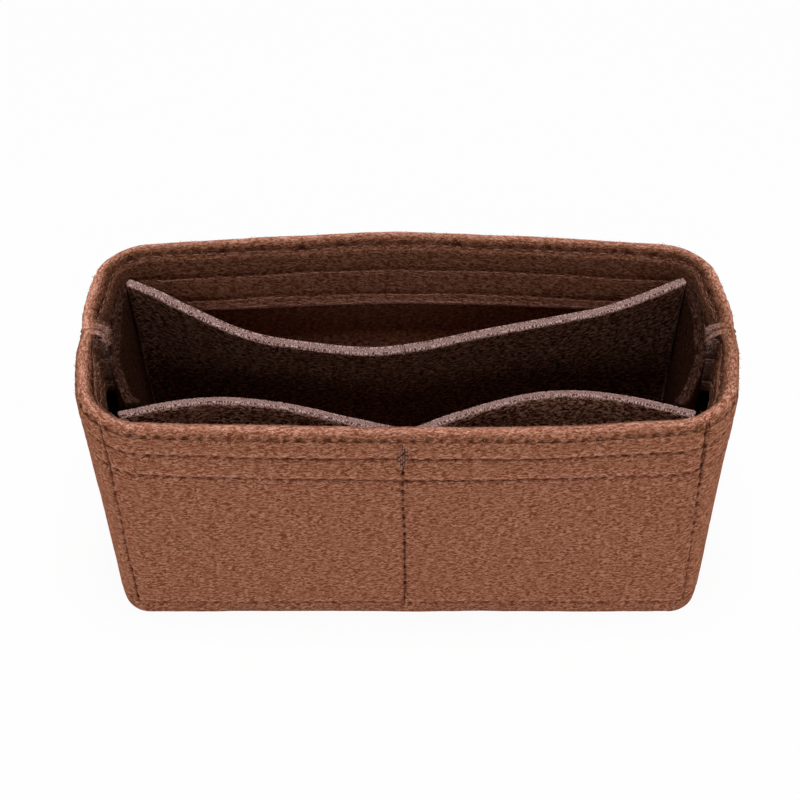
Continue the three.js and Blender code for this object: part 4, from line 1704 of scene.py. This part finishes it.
# Where loose fibres stand: the seam they are near (-1 left, 1 right), how far from it, how far
# past the start of the fold, how many there are and how long they are
FRONT_FUZZ = ((-1, (0.1 * MM, 2.4 * MM), (2.6 * MM, 6.6 * MM), 90, 1.7 * MM),
              (-1, (1.5 * MM, 2.1 * MM), (4.5 * MM, 16 * MM), 40, 0.9 * MM),
              (-1, (2.0 * MM, 18 * MM), (4.0 * MM, 13 * MM), 90, 0.8 * MM),
              (1, (0.1 * MM, 2.0 * MM), (2.8 * MM, 6.0 * MM), 35, 1.1 * MM),
              (1, (2.0 * MM, 14 * MM), (4.0 * MM, 13 * MM), 40, 0.7 * MM),
              (1, (2.0 * MM, 221 * MM), (-1.0 * MM, 4.0 * MM), 700, 0.8 * MM))
BACK_FUZZ = ((-1, (0.1 * MM, 3.0 * MM), (2.6 * MM, 6.2 * MM), 80, 1.6 * MM),
             (-1, (3.0 * MM, 18 * MM), (3.0 * MM, 12 * MM), 70, 0.8 * MM),
             (1, (0.1 * MM, 2.4 * MM), (2.8 * MM, 6.0 * MM), 25, 1.0 * MM),
             (1, (2.0 * MM, 220 * MM), (0.0 * MM, 5.0 * MM), 700, 0.8 * MM))


def fibre_lines(wrap, back, spots):
    """Short curled lines that start on a wrap, as an array for each fibre."""
    rng = np.random.default_rng(FIBRE_SEED + back)
    half_run = sum(outline_runs(fold_height(), back))
    wall = wrap_lengths()[0]
    lines = []
    for side, aside, past_fold, count, reach in spots:
        places = side * (1 - rng.uniform(*aside, count) / half_run)
        points, normals = wrap.at(places, wall + rng.uniform(*past_fold, count))
        for point, normal in zip(points, normals):
            lines.append(curl(point, normal, reach * rng.uniform(0.5, 1.2), rng))
    return lines


def curl(point, normal, reach, rng):
    """A fibre that leaves the felt at a point and bends over."""
    heading = normal * FIBRE_LIFT + rng.normal(0, FIBRE_STRAY, 3)
    bend = rng.normal(0, FIBRE_BEND, 3)
    line_points = [point - normal * FIBRE_ROOT]
    for _ in range(FIBRE_POINTS - 1):
        heading = heading / np.linalg.norm(heading)
        line_points.append(line_points[-1] + heading * reach / (FIBRE_POINTS - 1))
        heading = heading + bend
    return np.array(line_points)


def grow(name, lines, tree):
    """Turns lines of points into the mesh of their fibres."""
    guide = polyline(name, lines)
    modifier = guide.modifiers.new("Loose fibres", 'NODES')
    modifier.node_group = tree
    set_inputs(modifier, {"Fibre radius": FIBRE_RADIUS, "Material": loose_fibre()})
    mesh = evaluated_mesh(guide)
    remove_object(guide)
    piece = put(name, mesh, None)
    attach(piece, BODY)


ROW_POINTS = 400
SEAM_POINTS = 120
BACK_TACK_SHARE = 0.45


def stitch_rows(wrap, back, on_hem):
    """The rows along a wrap, as lines of points with the way out of the felt at each."""
    along = np.linspace(-ROW_END, ROW_END, ROW_POINTS)
    run = along * sum(outline_runs(fold_height(), back))
    lines = [wrap.at(along, row.level + wander(run, row.seed)) for row in hem_rows(back, on_hem)]
    return lines


def upright_row(wrap, seam, top, bottom, aside=0.0):
    """A line up the wall, along a seam or beside it."""
    levels = np.linspace(top, bottom, SEAM_POINTS)
    half_run = sum(outline_runs(fold_height(), False))
    places = seam_places(levels, seam.rim, seam.foot, False)
    return wrap.at(places + (wander(levels, seam.seed) + aside) / half_run, levels)


def upright_rows(wrap):
    """The three upright seams, down to the row along the foot."""
    lines = [upright_row(wrap, seam, seam.top, stitches().bottom_row)
             for seam in upright_seams()]
    return lines


def back_tack_rows(wrap):
    """Short rows sewn to and fro over the top of the centre seam."""
    seam = upright_seams()[-1]
    lines = []
    for aside, start, end in BACK_TACKS:
        lines.append(upright_row(wrap, seam, seam.top - start, seam.top - end, aside))
    return lines


SINK_SHARE = 0.2
DIVE_SHARE = 1.6

# Rows of the back-tack: how far beside the seam, and where they start and end under its top
TACK_PULL = 1.2
TACK_REACH = 0.6
TACK_THREAD_SHARE = 1.25
TACK_SINK_SHARE = -0.5
BACK_TACKS = ((-0.95 * MM, 1.6 * MM, 6.4 * MM), (1.0 * MM, 0.9 * MM, 5.4 * MM),
              (0.15 * MM, 0.0 * MM, 7.0 * MM), (-0.35 * MM, 2.2 * MM, 7.8 * MM))


def sew(name, lines, tree, pitch, material, thickness=1.0, sink=SINK_SHARE):
    """Turns lines of points into the mesh of their stitches."""
    guide = polyline(name, [points for points, _ in lines], [normals for _, normals in lines])
    modifier = guide.modifiers.new("Stitches", 'NODES')
    modifier.node_group = tree
    radius = stitches().thread / 2 * thickness
    set_inputs(modifier, {
        "Pitch": pitch,
        "Stitch length": pitch * stitches().stitch_share,
        "Thread radius": radius,
        "Sink": radius * sink,
        "Dive": radius * DIVE_SHARE,
        "Material": material})
    mesh = evaluated_mesh(guide)
    remove_object(guide)
    piece = put(name, mesh, None)
    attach(piece, BODY)
    return piece


class INSERT_OT_stage(bpy.types.Operator):
    """Sets up the floor, the soft studio light and the camera"""
    bl_idname = "insert.stage"
    bl_label = "Set the stage"

    def execute(self, context):
        scene = context.scene
        studio = scene.studio_settings
        scene.view_settings.view_transform = 'Standard'
        add_camera(scene, studio)
        add_floor(studio)
        add_lamps(studio)
        add_world(scene, studio)
        return {'FINISHED'}


def add_camera(scene, studio):
    data = bpy.data.cameras.new("camera")
    data.lens = studio.camera_lens
    data.sensor_width = 36
    data.clip_start = 0.01
    camera = bpy.data.objects.new("camera", data)
    away = Vector((0, -math.cos(studio.camera_elevation), math.sin(studio.camera_elevation)))
    camera.location = Vector(studio.camera_aim) + studio.camera_distance * away
    camera.rotation_euler = (math.pi / 2 - studio.camera_elevation, 0, 0)
    scene.collection.objects.link(camera)
    scene.camera = camera


def add_floor(studio):
    half = studio.floor_size / 2
    corners = [(-half, -half, 0), (half, -half, 0), (half, half, 0), (-half, half, 0)]
    mesh = bpy.data.meshes.new("floor")
    mesh.from_pydata(corners, [], [(0, 1, 2, 3)])
    material, tree = material_tree("floor")
    link = tree.links.new
    matt = add_node(tree, 'ShaderNodeBsdfDiffuse')
    matt.inputs["Color"].default_value = (*studio.floor, 1)
    glow = add_node(tree, 'ShaderNodeEmission')
    glow.inputs["Color"].default_value = (1, 1, 1, 1)
    path = add_node(tree, 'ShaderNodeLightPath')
    seen = add_node(tree, 'ShaderNodeMath', operation='MULTIPLY')
    seen.inputs[1].default_value = FLOOR_GLOW_SHARE
    link(path.outputs["Is Camera Ray"], seen.inputs[0])
    mix = add_node(tree, 'ShaderNodeMixShader')
    link(seen.outputs[0], mix.inputs[0])
    link(matt.outputs[0], mix.inputs[1])
    link(glow.outputs[0], mix.inputs[2])
    output = add_node(tree, 'ShaderNodeOutputMaterial')
    link(mix.outputs[0], output.inputs[0])
    put("floor", mesh, material)


FLOOR_GLOW_SHARE = 0.955


def add_lamps(studio):
    aim = (0, 0, 0.04)
    lamps = (("overhead_lamp", (0, -0.05, 1.2), aim, (0.3, 0.2), studio.key_power),
             ("front_lamp", (0, -1.3, 0.1), aim, (1.8, 0.14), studio.front_power),
             ("high_lamp", (0, -1.1, 0.75), aim, (0.6, 0.3), studio.high_power),
             ("left_lamp", (-1.2, -0.5, 0.045), aim, (0.8, 0.07), studio.side_power),
             ("right_lamp", (1.2, -0.5, 0.045), aim, (0.8, 0.07), studio.side_power),
             ("back_lamp", (0, 1.3, 0.1), aim, (1.8, 0.14), studio.back_power))
    for name, place, aim, size, power in lamps:
        data = bpy.data.lights.new(name, 'AREA')
        data.shape = 'RECTANGLE'
        data.size, data.size_y = size
        data.energy = power
        lamp = bpy.data.objects.new(name, data)
        lamp.location = place
        direction = Vector(aim) - Vector(place)
        lamp.rotation_euler = direction.to_track_quat('-Z', 'Y').to_euler()
        bpy.context.scene.collection.objects.link(lamp)


def add_world(scene, studio):
    world = bpy.data.worlds.new("studio")
    world.use_nodes = True
    tree = world.node_tree
    tree.nodes.clear()
    link = tree.links.new
    path = add_node(tree, 'ShaderNodeLightPath')
    seen = add_node(tree, 'ShaderNodeMath', operation='MAXIMUM')
    link(path.outputs["Is Camera Ray"], seen.inputs[0])
    link(path.outputs["Is Glossy Ray"], seen.inputs[1])
    mirrored = add_node(tree, 'ShaderNodeMath', operation='MAXIMUM')
    link(seen.outputs[0], mirrored.inputs[0])
    link(path.outputs["Is Transmission Ray"], mirrored.inputs[1])
    strength = add_node(tree, 'ShaderNodeMapRange')
    strength.inputs["To Min"].default_value = studio.ambient
    strength.inputs["To Max"].default_value = 1.0
    link(mirrored.outputs[0], strength.inputs["Value"])
    background = add_node(tree, 'ShaderNodeBackground')
    background.inputs["Color"].default_value = (1, 1, 1, 1)
    link(strength.outputs[0], background.inputs["Strength"])
    output = add_node(tree, 'ShaderNodeOutputWorld')
    link(background.outputs[0], output.inputs[0])
    scene.world = world


class INSERT_PT_panel(bpy.types.Panel):
    """Lists the steps that make the insert"""
    bl_idname = "INSERT_PT_panel"
    bl_label = "Felt insert"
    bl_space_type = 'VIEW_3D'
    bl_region_type = 'UI'
    bl_category = "Felt insert"

    def draw(self, context):
        for operator in OPERATORS:
            self.layout.operator(operator.bl_idname)
        for group in GROUPS:
            settings = getattr(context.scene, group)
            box = self.layout.box()
            for name in settings.bl_rna.properties.keys():
                if name not in ("rna_type", "name"):
                    box.prop(settings, name)


OPERATORS = (INSERT_OT_stage, INSERT_OT_wraps, INSERT_OT_base, INSERT_OT_panels,
             INSERT_OT_stitches, INSERT_OT_fibres)
GROUPS = {
    "insert_sizes": InsertSizes,
    "panel_sizes": PanelSizes,
    "stitch_sizes": StitchSizes,
    "felt_colours": FeltColours,
    "studio_settings": StudioSettings,
}


def register():
    for kind in (*GROUPS.values(), *OPERATORS, INSERT_PT_panel):
        bpy.utils.register_class(kind)
    for name, kind in GROUPS.items():
        setattr(bpy.types.Scene, name, bpy.props.PointerProperty(type=kind))


def unregister():
    for name in GROUPS:
        delattr(bpy.types.Scene, name)
    for kind in (INSERT_PT_panel, *OPERATORS, *GROUPS.values()):
        bpy.utils.unregister_class(kind)


def main():
    register()
    bpy.ops.insert.stage()
    bpy.ops.insert.wraps()
    bpy.ops.insert.base()
    bpy.ops.insert.panels()
    bpy.ops.insert.stitches()
    bpy.ops.insert.fibres()


if __name__ == "__main__":
    main()
